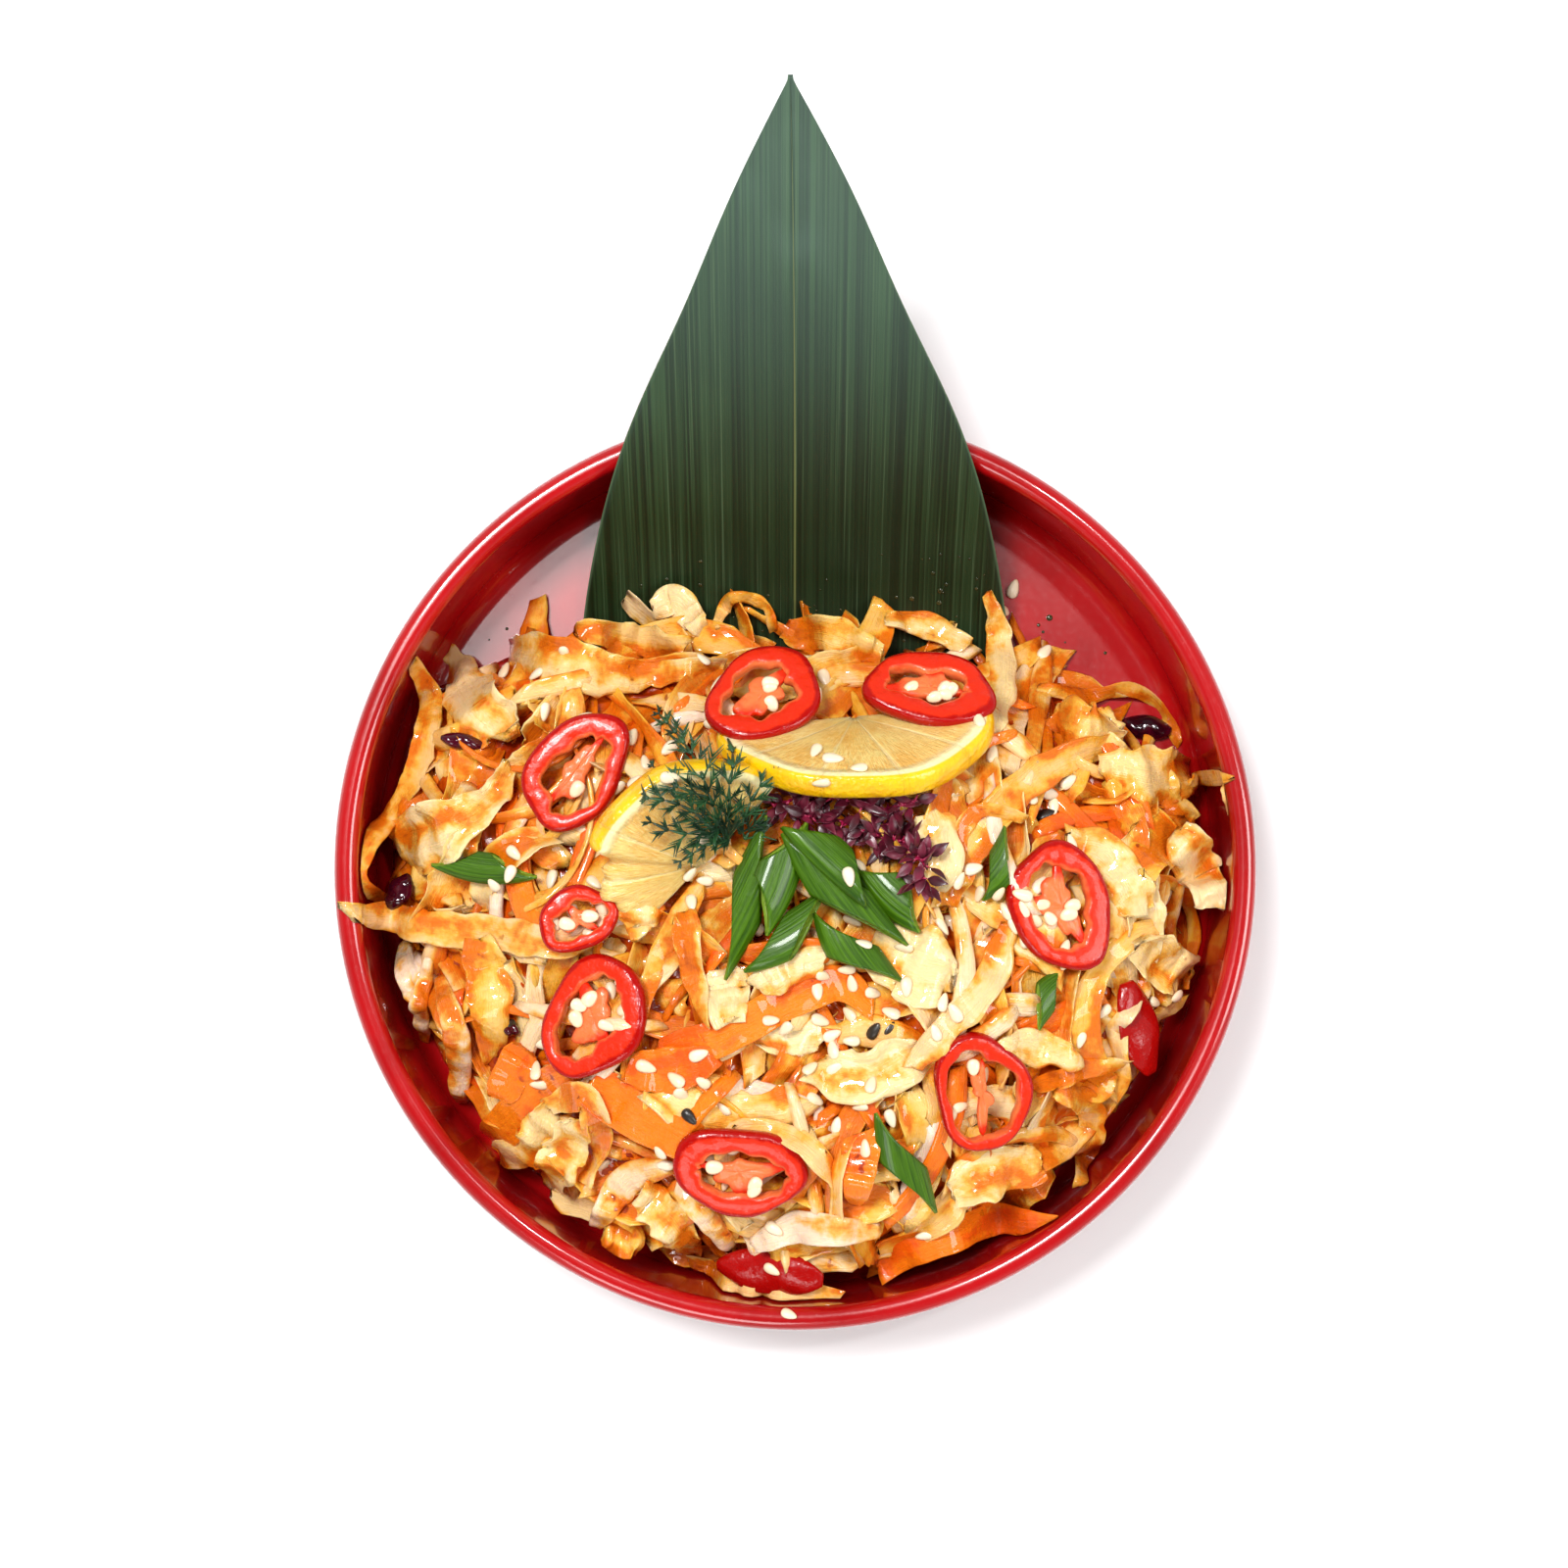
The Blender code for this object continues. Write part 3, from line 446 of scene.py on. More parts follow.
def operator(operation: str, swapped: bool = False) -> Callable[..., "Value"]:
    """A method of Value that adds one Math node, with its two sides in order or swapped.

    Args:
        operation: what the node does.
        swapped: whether the method's own value comes second.

    Returns:
        The method.
    """

    def method(self: "Value", other: Any = 0.0) -> "Value":
        """The node's output."""
        sides = (other, self) if swapped else (self, other)
        return self.graph.node("ShaderNodeMath", {"operation": operation}, dict(enumerate(sides)))

    return method


@dataclass(frozen=True)
class Value:
    """A node's output that takes part in Python arithmetic: each operator adds a Math node."""

    graph: "Graph"
    socket: Any

    __add__ = operator("ADD")
    __radd__ = operator("ADD", swapped=True)
    __sub__ = operator("SUBTRACT")
    __rsub__ = operator("SUBTRACT", swapped=True)
    __mul__ = operator("MULTIPLY")
    __rmul__ = operator("MULTIPLY", swapped=True)
    __pow__ = operator("POWER")
    wave = operator("SINE")
    larger = operator("MAXIMUM")

    def span(self, low: float, high: float) -> "Value":
        """Smooth 0 to 1 as the value goes from low to high."""
        inputs = {"Value": self, "From Min": low, "From Max": high}
        return self.graph.node("ShaderNodeMapRange", {"interpolation_type": "SMOOTHSTEP"}, inputs)


class Graph:
    """The nodes of one material, around its Principled BSDF."""

    def __init__(self, name: str) -> None:
        """Starts a material of that name.

        Args:
            name: the material's name.
        """
        self.material = bpy.data.materials.new(name)
        self.material.use_nodes = True
        self.tree = self.material.node_tree
        self.shader = self.tree.nodes["Principled BSDF"]

    def _feed(self, socket: Any, value: Any) -> None:
        """Links a value to a socket, or sets the socket to a number, colour or vector.

        Args:
            socket: an input.
            value: what it gets.
        """
        if isinstance(value, Value):
            self.tree.links.new(value.socket, socket)
        elif isinstance(value, tuple) and len(value) == 3 and socket.type == "RGBA":
            socket.default_value = (*value, 1.0)
        else:
            socket.default_value = value

    def node(
        self, kind: str, settings: dict | None = None, inputs: dict | None = None, output: int | str = 0
    ) -> Value:
        """Adds a node.

        Args:
            kind: the node's type.
            settings: its properties.
            inputs: values or links for its sockets, by name or number.
            output: name or number of the output that is returned.

        Returns:
            The chosen output.
        """
        made = self.tree.nodes.new(kind)
        for name, value in (settings or {}).items():
            setattr(made, name, value)
        for name, value in (inputs or {}).items():
            self._feed(made.inputs[name], value)
        return Value(self, made.outputs[output])

    def mark(self, name: str) -> Value:
        """A number that the mesh carries on its points."""
        return self.node("ShaderNodeAttribute", {"attribute_name": name}, output="Fac")

    def place(self, stretch: tuple | None = None) -> Value:
        """Object coordinates in metres, stretched if a factor for each axis is given."""
        place = self.node("ShaderNodeTexCoord", output="Object")
        return self.node("ShaderNodeMapping", None, {"Vector": place, "Scale": stretch}) if stretch else place

    def join(self, x: Any, y: Any, z: Any = 0.0) -> Value:
        """A vector of three values."""
        return self.node("ShaderNodeCombineXYZ", None, {"X": x, "Y": y, "Z": z})

    def noise(self, vector: Value, scale: float, detail: float = 3.0, roughness: float = 0.5) -> Value:
        """Noise between 0 and 1, scale waves to a unit of the vector."""
        sockets = {"Vector": vector, "Scale": scale, "Detail": detail, "Roughness": roughness}
        return self.node("ShaderNodeTexNoise", None, sockets)

    def grain(self, scale: float, detail: float = 3.0, roughness: float = 0.5) -> Value:
        """Noise that lies in the object, scale waves to a metre."""
        return self.noise(self.place(), scale, detail, roughness)

    def mix(self, share: Any, a: Any, b: Any) -> Value:
        """The colour a, going to b with the share.

        Args:
            share: how much of b.
            a: colour at 0.
            b: colour at 1.

        Returns:
            The mixed colour.
        """
        made = self.tree.nodes.new("ShaderNodeMix")
        made.data_type = "RGBA"
        self._feed(made.inputs["Factor"], share)
        self._feed(made.inputs[6], a)
        self._feed(made.inputs[7], b)
        return Value(self, made.outputs[2])

    def layers(self, colour: Any, *coats: tuple[Any, Any]) -> Value:
        """A colour with others laid over it in order, each as (share, colour).

        Args:
            colour: the lowest colour.
            *coats: those above it.

        Returns:
            The colour that results.
        """
        for share, coat in coats:
            colour = self.mix(share, colour, coat)
        return colour

    def ramp(self, value: Value, stops: tuple) -> Value:
        """The colour that a ramp gives for a value.

        Args:
            value: place on the ramp.
            stops: (place, colour) pairs.

        Returns:
            The colour.
        """
        colour = self.node("ShaderNodeValToRGB", None, {"Fac": value})
        made = colour.socket.node.color_ramp.elements
        while len(made) < len(stops):
            made.new(0.5)
        for stop, (place, shade) in zip(made, stops):
            stop.position, stop.color = place, (*shade, 1.0)
        return colour

    def bump(self, height: Value, depth: float, strength: float = 1.0) -> Value:
        """A normal for a relief of the given depth in millimetres."""
        inputs = {"Height": height, "Distance": depth * MM, "Strength": strength}
        return self.node("ShaderNodeBump", None, inputs)

    def done(
        self, colour: Any, roughness: Any, normal: Value | None = None,
        coat: tuple = (), glow: tuple = (), specular: float | None = None,
    ) -> bpy.types.Material:
        """Sets the shader's sockets.

        Args:
            colour: the base colour.
            roughness: the surface's roughness.
            normal: its relief, if it has one.
            coat: weight and roughness of a clear coat.
            glow: weight, radius and scale of the light that scatters inside.
            specular: how strongly it mirrors.

        Returns:
            The material.
        """
        sockets = {"Base Color": colour, "Roughness": roughness}
        sockets |= {"Normal": normal, "Specular IOR Level": specular}
        sockets |= zip(("Coat Weight", "Coat Roughness"), coat)
        sockets |= zip(("Subsurface Weight", "Subsurface Radius", "Subsurface Scale"), glow)
        for name, value in sockets.items():
            if value is not None:
                self._feed(self.shader.inputs[name], value)
        return self.material


def srgb(*levels: int) -> tuple[float, ...]:
    """A display colour of three levels up to 255 as linear light, by the sRGB curve."""
    share = np.array(levels) / 255.0
    return tuple(np.where(share <= 0.04045, share / 12.92, ((share + 0.055) / 1.055) ** 2.4).tolist())


# --- finishes ---


@dataclass(frozen=True)
class Lacquer:
    """Glossy red lacquer with faint scuffs."""

    colour: tuple = srgb(182, 12, 18)
    deep: tuple = srgb(156, 6, 10)

    def build(self) -> bpy.types.Material:
        """Builds the nodes.

        Returns:
            The material.
        """
        g = Graph("red_lacquer")
        cloud = g.grain(45.0, 4.0)
        scuff = g.noise(g.place((1.0, 1.0, 0.3)), 900.0, 4.0, 0.7)
        return g.done(
            g.mix(cloud.span(0.35, 0.7), self.colour, self.deep),
            0.2 + scuff.span(0.45, 0.75) * 0.08,
            g.bump(scuff, 0.004, 0.4),
            coat=(0.7, 0.06),
        )


@dataclass(frozen=True)
class Dressed:
    """Cut vegetable in an oily red dressing: flesh, washes of dressing that are heavier deep in the pile and
    in the valleys of folds, partly real and partly painted shade, and a wet coat.
    """

    name: str
    pale: tuple
    warm: tuple
    wash: tuple = srgb(242, 174, 44)
    stain: tuple = srgb(226, 108, 4)
    # deep: the darkest wash, reached mostly deep in the pile and in folds: partly real staining, partly
    # painted shade
    deep: tuple = srgb(150, 44, 2)
    speck: tuple = srgb(140, 30, 8)
    soaked: float = 0.0
    scatter: float = 0.2

    def build(self) -> bpy.types.Material:
        """Builds the nodes, which read the marks tint, depth, fold, across and along.

        Returns:
            The material.
        """
        g = Graph(self.name)
        tint, depth = g.mark("tint"), g.mark("depth")
        veins = g.noise(g.join(g.mark("across") * 2.4, g.mark("along") * 0.5, tint * 40.0), 9.0, 3.0)
        patches = g.grain(75.0, 4.0, 0.6)
        fine = g.grain(420.0, 4.0, 0.6)
        # stain_and_shade: random patches of stain, plus darkening deep in the pile and in the valleys of
        # folds, partly dressing that gathers there and partly painted shade
        stain_and_shade = patches * 0.8 + fine * 0.25 + depth * 0.26 - g.mark("fold") * 0.16
        stain_and_shade = stain_and_shade + tint * 0.08 + (self.soaked - 0.035)
        colour = g.layers(
            self.pale,
            (tint, self.warm),
            (veins.span(0.5, 0.75) * 0.35, self.warm),
            (stain_and_shade.span(0.44, 0.58) * 0.9, self.wash),
            (stain_and_shade.span(0.53, 0.66) * 0.95, self.stain),
            (stain_and_shade.span(0.70, 0.90) * 0.9, self.deep),
            (g.grain(300.0, 2.0).span(0.71, 0.77) * patches.span(0.4, 0.6) * 0.8, self.speck),
        )
        relief = veins * 0.5 + g.grain(330.0, 3.0) * 0.8 + fine * 0.4 + g.grain(1300.0, 2.0) * 0.3
        return g.done(
            colour,
            0.26 + fine.span(0.35, 0.7) * 0.2,
            g.bump(relief, 0.5),
            coat=(0.65, 0.03), glow=(self.scatter, (0.5, 0.35, 0.08), 0.003), specular=0.25,
        )


@dataclass(frozen=True)
class ChilliFlesh:
    """Sliced red chilli: glossy skin outside, going through red flesh to a pale orange inside."""

    skin: tuple = srgb(168, 8, 4)
    flesh: tuple = srgb(216, 40, 6)
    core: tuple = srgb(234, 118, 64)

    def build(self) -> bpy.types.Material:
        """Builds the nodes, which read the mark inward, 0 at the skin and 1 at the core.

        Returns:
            The material.
        """
        g = Graph("chilli_flesh")
        inward = g.mark("inward")
        grain = g.grain(500.0, 3.0)
        places = (0.0, 0.16, 0.26, 0.80, 1.0)
        stops = tuple(zip(places, (self.skin, self.skin, self.flesh, self.flesh, self.core)))
        blotch = g.grain(260.0, 4.0, 0.6)
        return g.done(
            g.ramp(inward + (grain - 0.5) * 0.2 + (blotch - 0.5) * 0.5 * inward, stops),
            0.18 + inward.span(0.1, 0.4) * 0.14 + grain.span(0.4, 0.7) * 0.12,
            g.bump(grain * 0.6 + blotch * 0.8, 0.4),
            coat=(0.22, 0.05), glow=(0.2, (0.8, 0.15, 0.05), 0.002), specular=0.25,
        )


@dataclass(frozen=True)
class Kernel:
    """A seed: one colour, going to another at its tip."""

    name: str
    colour: tuple
    tip: tuple

    def build(self) -> bpy.types.Material:
        """Builds the nodes, which read the marks tint and along, 1 at the pointed end.

        Returns:
            The material.
        """
        g = Graph(self.name)
        grain = g.grain(900.0, 2.0)
        return g.done(
            g.mix(g.mark("along").span(0.6, 1.1) * 0.6 + g.mark("tint") * 0.35, self.colour, self.tip),
            0.35 + grain * 0.1,
            g.bump(grain, 0.06),
            coat=(0.25, 0.12), glow=(0.15, (0.5, 0.4, 0.3), 0.001),
        )


@dataclass(frozen=True)
class Citrus:
    """Lemon slice: clear juicy flesh in faint segments, pith, and yellow dimpled peel."""

    flesh: tuple = srgb(254, 222, 136)
    juice: tuple = srgb(240, 180, 84)
    membrane: tuple = srgb(254, 234, 176)
    pith: tuple = srgb(253, 236, 178)
    peel: tuple = srgb(248, 196, 4)
    peel_deep: tuple = srgb(232, 158, 2)
    segments: float = 10.0

    def build(self) -> bpy.types.Material:
        """Builds the nodes, which read the marks reach, 0 at the middle and 1 at the peel, and turn.

        Returns:
            The material.
        """
        g = Graph("lemon_slice")
        reach, turn = g.mark("reach"), g.mark("turn")
        cells = g.noise(g.join(turn * 11.0, reach * 1.6, 0.0), 6.0, 4.0, 0.6)
        cloud = g.grain(150.0, 3.0)
        wedge = (turn * (self.segments * 0.5) + (cells - 0.5) * 0.3).wave()
        wall = 1.0 - (wedge * wedge).span(0.0, 0.03)
        colour = g.layers(
            self.juice,
            ((cells * 0.6 + cloud * 0.4).span(0.38, 0.62), self.flesh),
            (wall.larger(1.0 - reach.span(0.04, 0.10)) * 0.45, self.membrane),
            (cells.span(0.6, 0.7) * 0.5, self.membrane),
            ((reach + (cells - 0.5) * 0.06).span(0.82, 0.90), self.pith),
            (reach.span(0.935, 0.955), g.mix(cloud.span(0.4, 0.7) * 0.7, self.peel, self.peel_deep)),
        )
        dimples = g.grain(1000.0, 1.0)
        relief = (cells * 0.6 + cloud * 0.8) * (1.0 - reach.span(0.82, 0.9)) * 1.6
        relief = relief + wall * 0.3 + dimples * 0.7
        return g.done(
            colour,
            0.16 + reach.span(0.8, 0.9) * 0.15,
            g.bump(relief, 0.45),
            coat=(0.5, 0.05), glow=(0.3, (1.0, 0.7, 0.25), 0.004),
        )


@dataclass(frozen=True)
class LeafBlade:
    """Broad green leaf with fine parallel veins, a pale midrib and paler edges; a painted sheen lightens its
    upper part and painted shade darkens its base.
    """

    dark: tuple = srgb(16, 28, 9)
    green: tuple = srgb(50, 76, 43)
    # deep: painted shade, the darker green towards the leaf's base inside the bowl
    deep: tuple = srgb(20, 30, 8)
    # sheen: a painted sheen, the pale blue-grey of light reflected from the upper leaf
    sheen: tuple = srgb(104, 132, 120)
    pale: tuple = srgb(104, 126, 94)
    midrib: tuple = srgb(124, 128, 72)

    def build(self) -> bpy.types.Material:
        """Builds the nodes, which read the marks across, -1 to 1, and along, 0 to 1 at the tip.

        Returns:
            The material.
        """
        g = Graph("leaf_blade")
        across, along = g.mark("across"), g.mark("along")
        side = (across * across) ** 0.5
        streaks = g.noise(g.place((1.0, 0.004, 0.004)), 600.0, 4.0, 0.75)
        threads = g.noise(g.place((1.0, 0.005, 0.005)), 2400.0, 3.0, 0.6)
        clouds = g.noise(g.place((1.0, 0.6, 0.6)), 30.0, 3.0)
        # where the painted sheen falls: cloudy patches, stronger towards the leaf's left side
        painted_sheen_mask = (1.0 - clouds.span(0.36, 0.56)) * (1.0 - across.span(-0.2, 0.7)) * 0.45 + 0.3
        colour = g.layers(
            self.dark,
            ((streaks * 0.65 + threads * 0.35).span(0.38, 0.60), self.green),
            (clouds.span(0.5, 0.68) * 0.45, self.dark),
            # painted shade: darker towards the base
            ((1.0 - along.span(0.22, 0.60)) * 0.6, self.deep),
            # painted sheen towards the tip
            (along.span(0.30, 0.90) * painted_sheen_mask, self.sheen),
            (threads.span(0.58, 0.72) * 0.28, self.pale),
            ((1.0 - side.span(0.002, 0.008)) * 0.5, self.midrib),
            (side.span(0.985, 0.997) * 0.5, self.pale),
        )
        relief = threads * 0.5 + streaks * 0.5 - (1.0 - side.span(0.005, 0.03)) * 0.8
        return g.done(
            colour,
            0.36 + clouds.span(0.3, 0.7) * 0.12,
            g.bump(relief, 0.2),
            specular=0.3,
        )


@dataclass(frozen=True)
class OnionLeaf:
    """Spring onion: green skin with lengthwise lines, pale where it is cut and inside."""

    dark: tuple = srgb(32, 68, 0)
    green: tuple = srgb(78, 120, 6)
    cut: tuple = srgb(132, 162, 44)

    def build(self) -> bpy.types.Material:
        """Builds the nodes, which read the marks inside, 0 outside and 1 within, around, along and tint.

        Returns:
            The material.
        """
        g = Graph("onion_leaf")
        place = g.join(g.mark("around") * 14.0, g.mark("along") * 0.8, g.mark("tint") * 9.0)
        lines = g.noise(place, 2.0)
        inside = g.mark("inside").span(0.1, 0.8) * 0.85
        colour = g.layers(self.dark, (lines.span(0.2, 0.8), self.green), (inside, self.cut))
        return g.done(
            colour,
            0.34 + lines * 0.12,
            g.bump(lines * 0.9 + g.grain(500.0) * 0.4, 0.3),
            coat=(0.3, 0.1), glow=(0.1, (0.3, 0.6, 0.1), 0.001), specular=0.22,
        )


@dataclass(frozen=True)
class Herb:
    """A small herb: two colours of noise, and a third for its stems."""

    name: str
    dark: tuple
    light: tuple
    stem: tuple
    roughness: float = 0.42

    def build(self) -> bpy.types.Material:
        """Builds the nodes, which read the mark stem, 1 on stems.

        Returns:
            The material.
        """
        g = Graph(self.name)
        cloud = g.grain(320.0, 3.0)
        colour = g.mix(cloud.span(0.35, 0.7), self.dark, self.light)
        return g.done(
            g.mix(g.mark("stem"), colour, self.stem),
            self.roughness + cloud * 0.1,
            g.bump(cloud, 0.1),
            coat=(0.2, 0.2),
        )


@dataclass(frozen=True)
class Liquid:
    """A wet film or drop: smooth, shiny and clouded."""

    name: str
    colour: tuple
    deep: tuple
    roughness: float = 0.05

    def build(self) -> bpy.types.Material:
        """Builds the nodes.

        Returns:
            The material.
        """
        g = Graph(self.name)
        cloud = g.grain(120.0, 3.0)
        fine = g.grain(500.0, 3.0)
        return g.done(
            g.mix((cloud * 0.7 + fine * 0.3).span(0.38, 0.62), self.colour, self.deep),
            self.roughness + fine * 0.1,
            g.bump(fine, 0.15),
            coat=(0.5, 0.04), glow=(0.1, (0.5, 0.15, 0.05), 0.002), specular=0.35,
        )


# --- the pile ---


class Pile:
    """A height map of all that has been laid down, so that the next piece rests on it."""

    CELL = 0.5
    HALF = 92.0
    DEEP = 9.0
    LEAST_FILL = 0.7
    LEAST_BED = 0.4
    RINGS = (0.35, 0.7, 1.0)
    NEIGHBOURS = ((0, 0), (3, 0), (-3, 0), (0, 3), (0, -3))

    def __init__(self, sunk: float, short: float) -> None:
        """Starts with the bowl, the leaf and a bed that lies under the heap's surface.

        Args:
            sunk: how far the bed lies below the finished heap.
            short: how far the filling stays below it, as room for the pieces laid last.
        """
        axis = np.arange(-self.HALF, self.HALF + self.CELL, self.CELL)
        self.grid = together(axis[:, None], axis)
        x, y = self.grid[..., 0], self.grid[..., 1]
        from_axis = np.hypot(x, y)
        self.height = np.full(x.shape, FLOOR_TOP)
        self.height[from_axis > RIM_RADIUS - WALL] = RIM_HEIGHT
        self.height[from_axis > RIM_RADIUS] = 0.0
        midline = leaf_midline(120)
        blade = np.interp(y, midline[:, 0], midline[:, 1]) + leaf_rise(x, y) + LEAF_THICKNESS
        half = leaf_half_width(midline[-1, 0] - y)
        on_leaf = (y > midline[0, 0]) & (y < midline[-1, 0]) & (np.abs(x) < half)
        self.height = np.where(on_leaf, np.maximum(self.height, blade), self.height)
        dome = heap_target(self.grid)
        self.inside = dome > FLOOR_TOP + 1.0
        self.target = FLOOR_TOP + np.maximum(dome - FLOOR_TOP - short, self.LEAST_FILL * (dome - FLOOR_TOP))
        bed = self.bed_height(self.grid, sunk)
        self.height = np.where(self.inside, np.maximum(self.height, bed), self.height)

    @classmethod
    def bed_height(cls, places: Array, sunk: float) -> Array:
        """The bed: the heap's dome lowered, but by no more than 60% of its height, with lumps.

        Args:
            places: (..., 2) places.
            sunk: how far the dome is lowered.

        Returns:
            The height over each.
        """
        above = heap_target(places) - FLOOR_TOP
        lumps = 0.8 * ripple(places, 17.0, 3) * (above > 3.0)
        return FLOOR_TOP + np.maximum(above - sunk, cls.LEAST_BED * above) + lumps

    def cells(self, places: Array) -> tuple[Array, Array]:
        """Row and column of the cell under each (..., 2) place."""
        index = np.clip(np.rint((places + self.HALF) / self.CELL).astype(int), 0, len(self.grid) - 1)
        return index[..., 0], index[..., 1]

    def at(self, places: Array) -> Array:
        """Height of the pile under each (..., 2) place."""
        return self.height[self.cells(places)]

    def raise_to(self, surface: Array) -> None:
        """Lifts the pile to a piece's upper surface, given as a (n, m, 3) grid."""
        fine = denser(surface, 3).reshape(-1, 3)
        np.maximum.at(self.height, self.cells(fine[:, :2]), fine[:, 2])

    def tilt(self, x: float, y: float, reach: float) -> tuple[Array, float]:
        """The plane that fits the pile around a place.

        Args:
            x: the place.
            y: the place.
            reach: radius of the part of the pile that counts.

        Returns:
            The plane's unit normal, and its height over the place.
        """
        rings = np.concatenate([compass(circle(24)) * reach * share for share in self.RINGS])
        height = self.at(rings + (x, y))
        fit, *_ = np.linalg.lstsq(np.column_stack([rings, np.ones(len(rings))]), height, rcond=None)
        return unit(np.array([-fit[0], -fit[1], 1.0])), float(fit[2])

    def tilts(self, places: Array, reach: float) -> tuple[Array, Array]:
        """The normals and heights of the planes that fit the pile around several places."""
        normals, levels = zip(*(self.tilt(x, y, reach) for x, y in places))
        return np.array(normals), np.array(levels)

    def depth_of(self, points: Array) -> Array:
        """How deep each point lies in the pile, 0 at its surface to 1 well under it."""
        return np.clip((self.soft_top(points[..., :2]) - points[..., 2]) / self.DEEP, 0.0, 1.0)

    def soft_top(self, places: Array) -> Array:
        """Height of the pile, averaged over a few millimetres."""
        return sum(self.at(places + step) for step in self.NEIGHBOURS) / len(self.NEIGHBOURS)


@dataclass
class Strip:
    """A cut piece of vegetable: a path in plan and the section that is carried along it."""

    path: Array
    widths: tuple[float, ...]
    thickness: float
    roll: float = 0.0
    twist: float = 0.0
    cup: float = 0.0
    ruffle: float = 0.0
    crumple: float = 0.3
    waves: float = 2.0
    stiff: int = 6
    arch: float = 0.0
    slant: float = 0.3
    tint: float = 0.5
    phase: float = 0.0


class Cutter:
    """Turns strips into rings of points that lie on the pile."""

    END = 0.16
    LUMPS = ((8.0, 71), (9.0, 72), (5.0, 73), (6.0, 74))

    def __init__(self, stations: int, around: int, press: float = 0.6) -> None:
        """Sets the number of rings of a strip and of points on a ring.

        Args:
            stations: rings along a strip.
            around: points of a ring.
            press: how far a strip settles from the highest thing under it to the mean.
        """
        self.press = press
        turn = circle(around)
        self.across = squared(np.cos(turn), 0.55)
        self.upward = squared(np.sin(turn), 0.75)
        upper = np.flatnonzero(self.upward >= -1e-6)
        self.upper = upper[np.argsort(self.across[upper])]
        self.share = np.linspace(0.0, 1.0, stations)
        self.end_scale = np.minimum(1.0, 0.70 + 0.30 * np.minimum(self.share, 1 - self.share) / self.END)

    @staticmethod
    def keep_inside(grid: Array) -> None:
        """Draws points below the rim in to the bowl's inner wall, and the others in to the rim.

        Args:
            grid: (n, m, 3) points, changed in place.
        """
        away = np.maximum(np.hypot(grid[..., 0], grid[..., 1]), 1.0)
        wall = np.where(grid[..., 2] < RIM_HEIGHT + 0.1, RIM_RADIUS - WALL, RIM_RADIUS)
        grid[..., :2] *= np.minimum(1.0, (wall - CLEARANCE) / away)[..., None]

    def lay(self, strip: Strip, pile: Pile) -> tuple[Array, dict[str, Array]]:
        """Lays one strip on the pile and lifts the pile to it.

        The middle line rests on the highest thing under each station and is pulled taut between
        them. A ring is middle + a w/2 side + b t/2 up, with a and b a rounded rectangle; cup
        lifts the edges by a^2, ruffle by a wave along the length, and crumple by smooth lumps,
        most at the edges; the edges and ends are ragged by lumps too.

        Args:
            strip: the strip.
            pile: what it lies on.

        Returns:
            (n, m, 3) rings, and the marks of their points.
        """
        share = self.share
        plan = along_curve(strip.path, len(share))
        ahead = unit(np.gradient(plan, axis=0))
        side = np.stack([-ahead[:, 1], ahead[:, 0]], axis=1)
        width = np.interp(share, np.linspace(0, 1, len(strip.widths)), strip.widths)
        roll = np.radians(strip.roll + strip.twist * (share - 0.5))
        reach = np.linspace(-1.0, 1.0, 5)
        flat = (width * np.cos(roll))[:, None, None] / 2 * reach[None, :, None] * side[:, None]
        rise = (width * np.sin(roll) / 2)[:, None] * reach + strip.cup * width[:, None] * reach**2
        gap = pile.at(plan[:, None] + flat) - rise
        need = (1.0 - self.press) * gap.max(axis=1) + self.press * gap.mean(axis=1) + strip.thickness * 0.3
        level = need.copy()
        for _ in range(strip.stiff):
            level[1:-1] = np.maximum(need[1:-1], (level[:-2] + level[2:]) / 2)
        level[1:-1] = (level[:-2] + 2 * level[1:-1] + level[2:]) / 4
        level += strip.arch * np.sin(math.pi * share)
        middle = np.column_stack([plan, level])
        ahead3 = unit(np.gradient(middle, axis=0))
        side3 = np.column_stack([side * np.cos(roll)[:, None], np.sin(roll)])
        up = unit(np.cross(ahead3, side3))
        a, b = self.across[None, :, None], self.upward[None, :, None]
        scale = self.end_scale[:, None, None]
        wave = np.sin(TAU * strip.waves * share + strip.phase)[:, None, None] * np.abs(a) * np.sign(a + 0.3)
        end = np.sign(share - 0.5) * np.abs(2 * share - 1) ** 6
        long = np.linalg.norm(np.diff(middle, axis=0), axis=1).sum()
        wide = width[:, None, None]
        local = together((share * long)[:, None], self.across * width[:, None] / 2) + 61.0 * strip.phase
        fold, ragged, swell, jag = (ripple(local, size, seed)[..., None] for size, seed in self.LUMPS)
        ragged = ragged * np.abs(a) * np.sign(a)
        end = end[:, None, None]
        slide = a * strip.slant * end + min(0.2, 0.3 * strip.crumple) * (jag * np.abs(end))
        grid = (
            middle[:, None]
            + (a * scale / 2 + min(0.09, 0.10 * strip.crumple) * ragged) * wide * side3[:, None]
            + b * scale * strip.thickness / 2 * (1.0 + 0.3 * swell) * (1.0 - 0.35 * a * a) * up[:, None]
            + up[:, None] * (strip.cup * wide * a * a + strip.ruffle * wave)
            + up[:, None] * (strip.crumple * fold * (0.35 + 0.65 * np.abs(a)))
            + ahead3[:, None] * (wide * slide)
        )
        self.keep_inside(grid)
        pile.raise_to(grid[:, self.upper])
        marks = {
            "fold": fold[..., 0],
            "tint": np.array([[strip.tint]]),
            "across": self.across * width[:, None] / 8.0 + strip.phase,
            "along": share[:, None],
        }
        return grid, marks


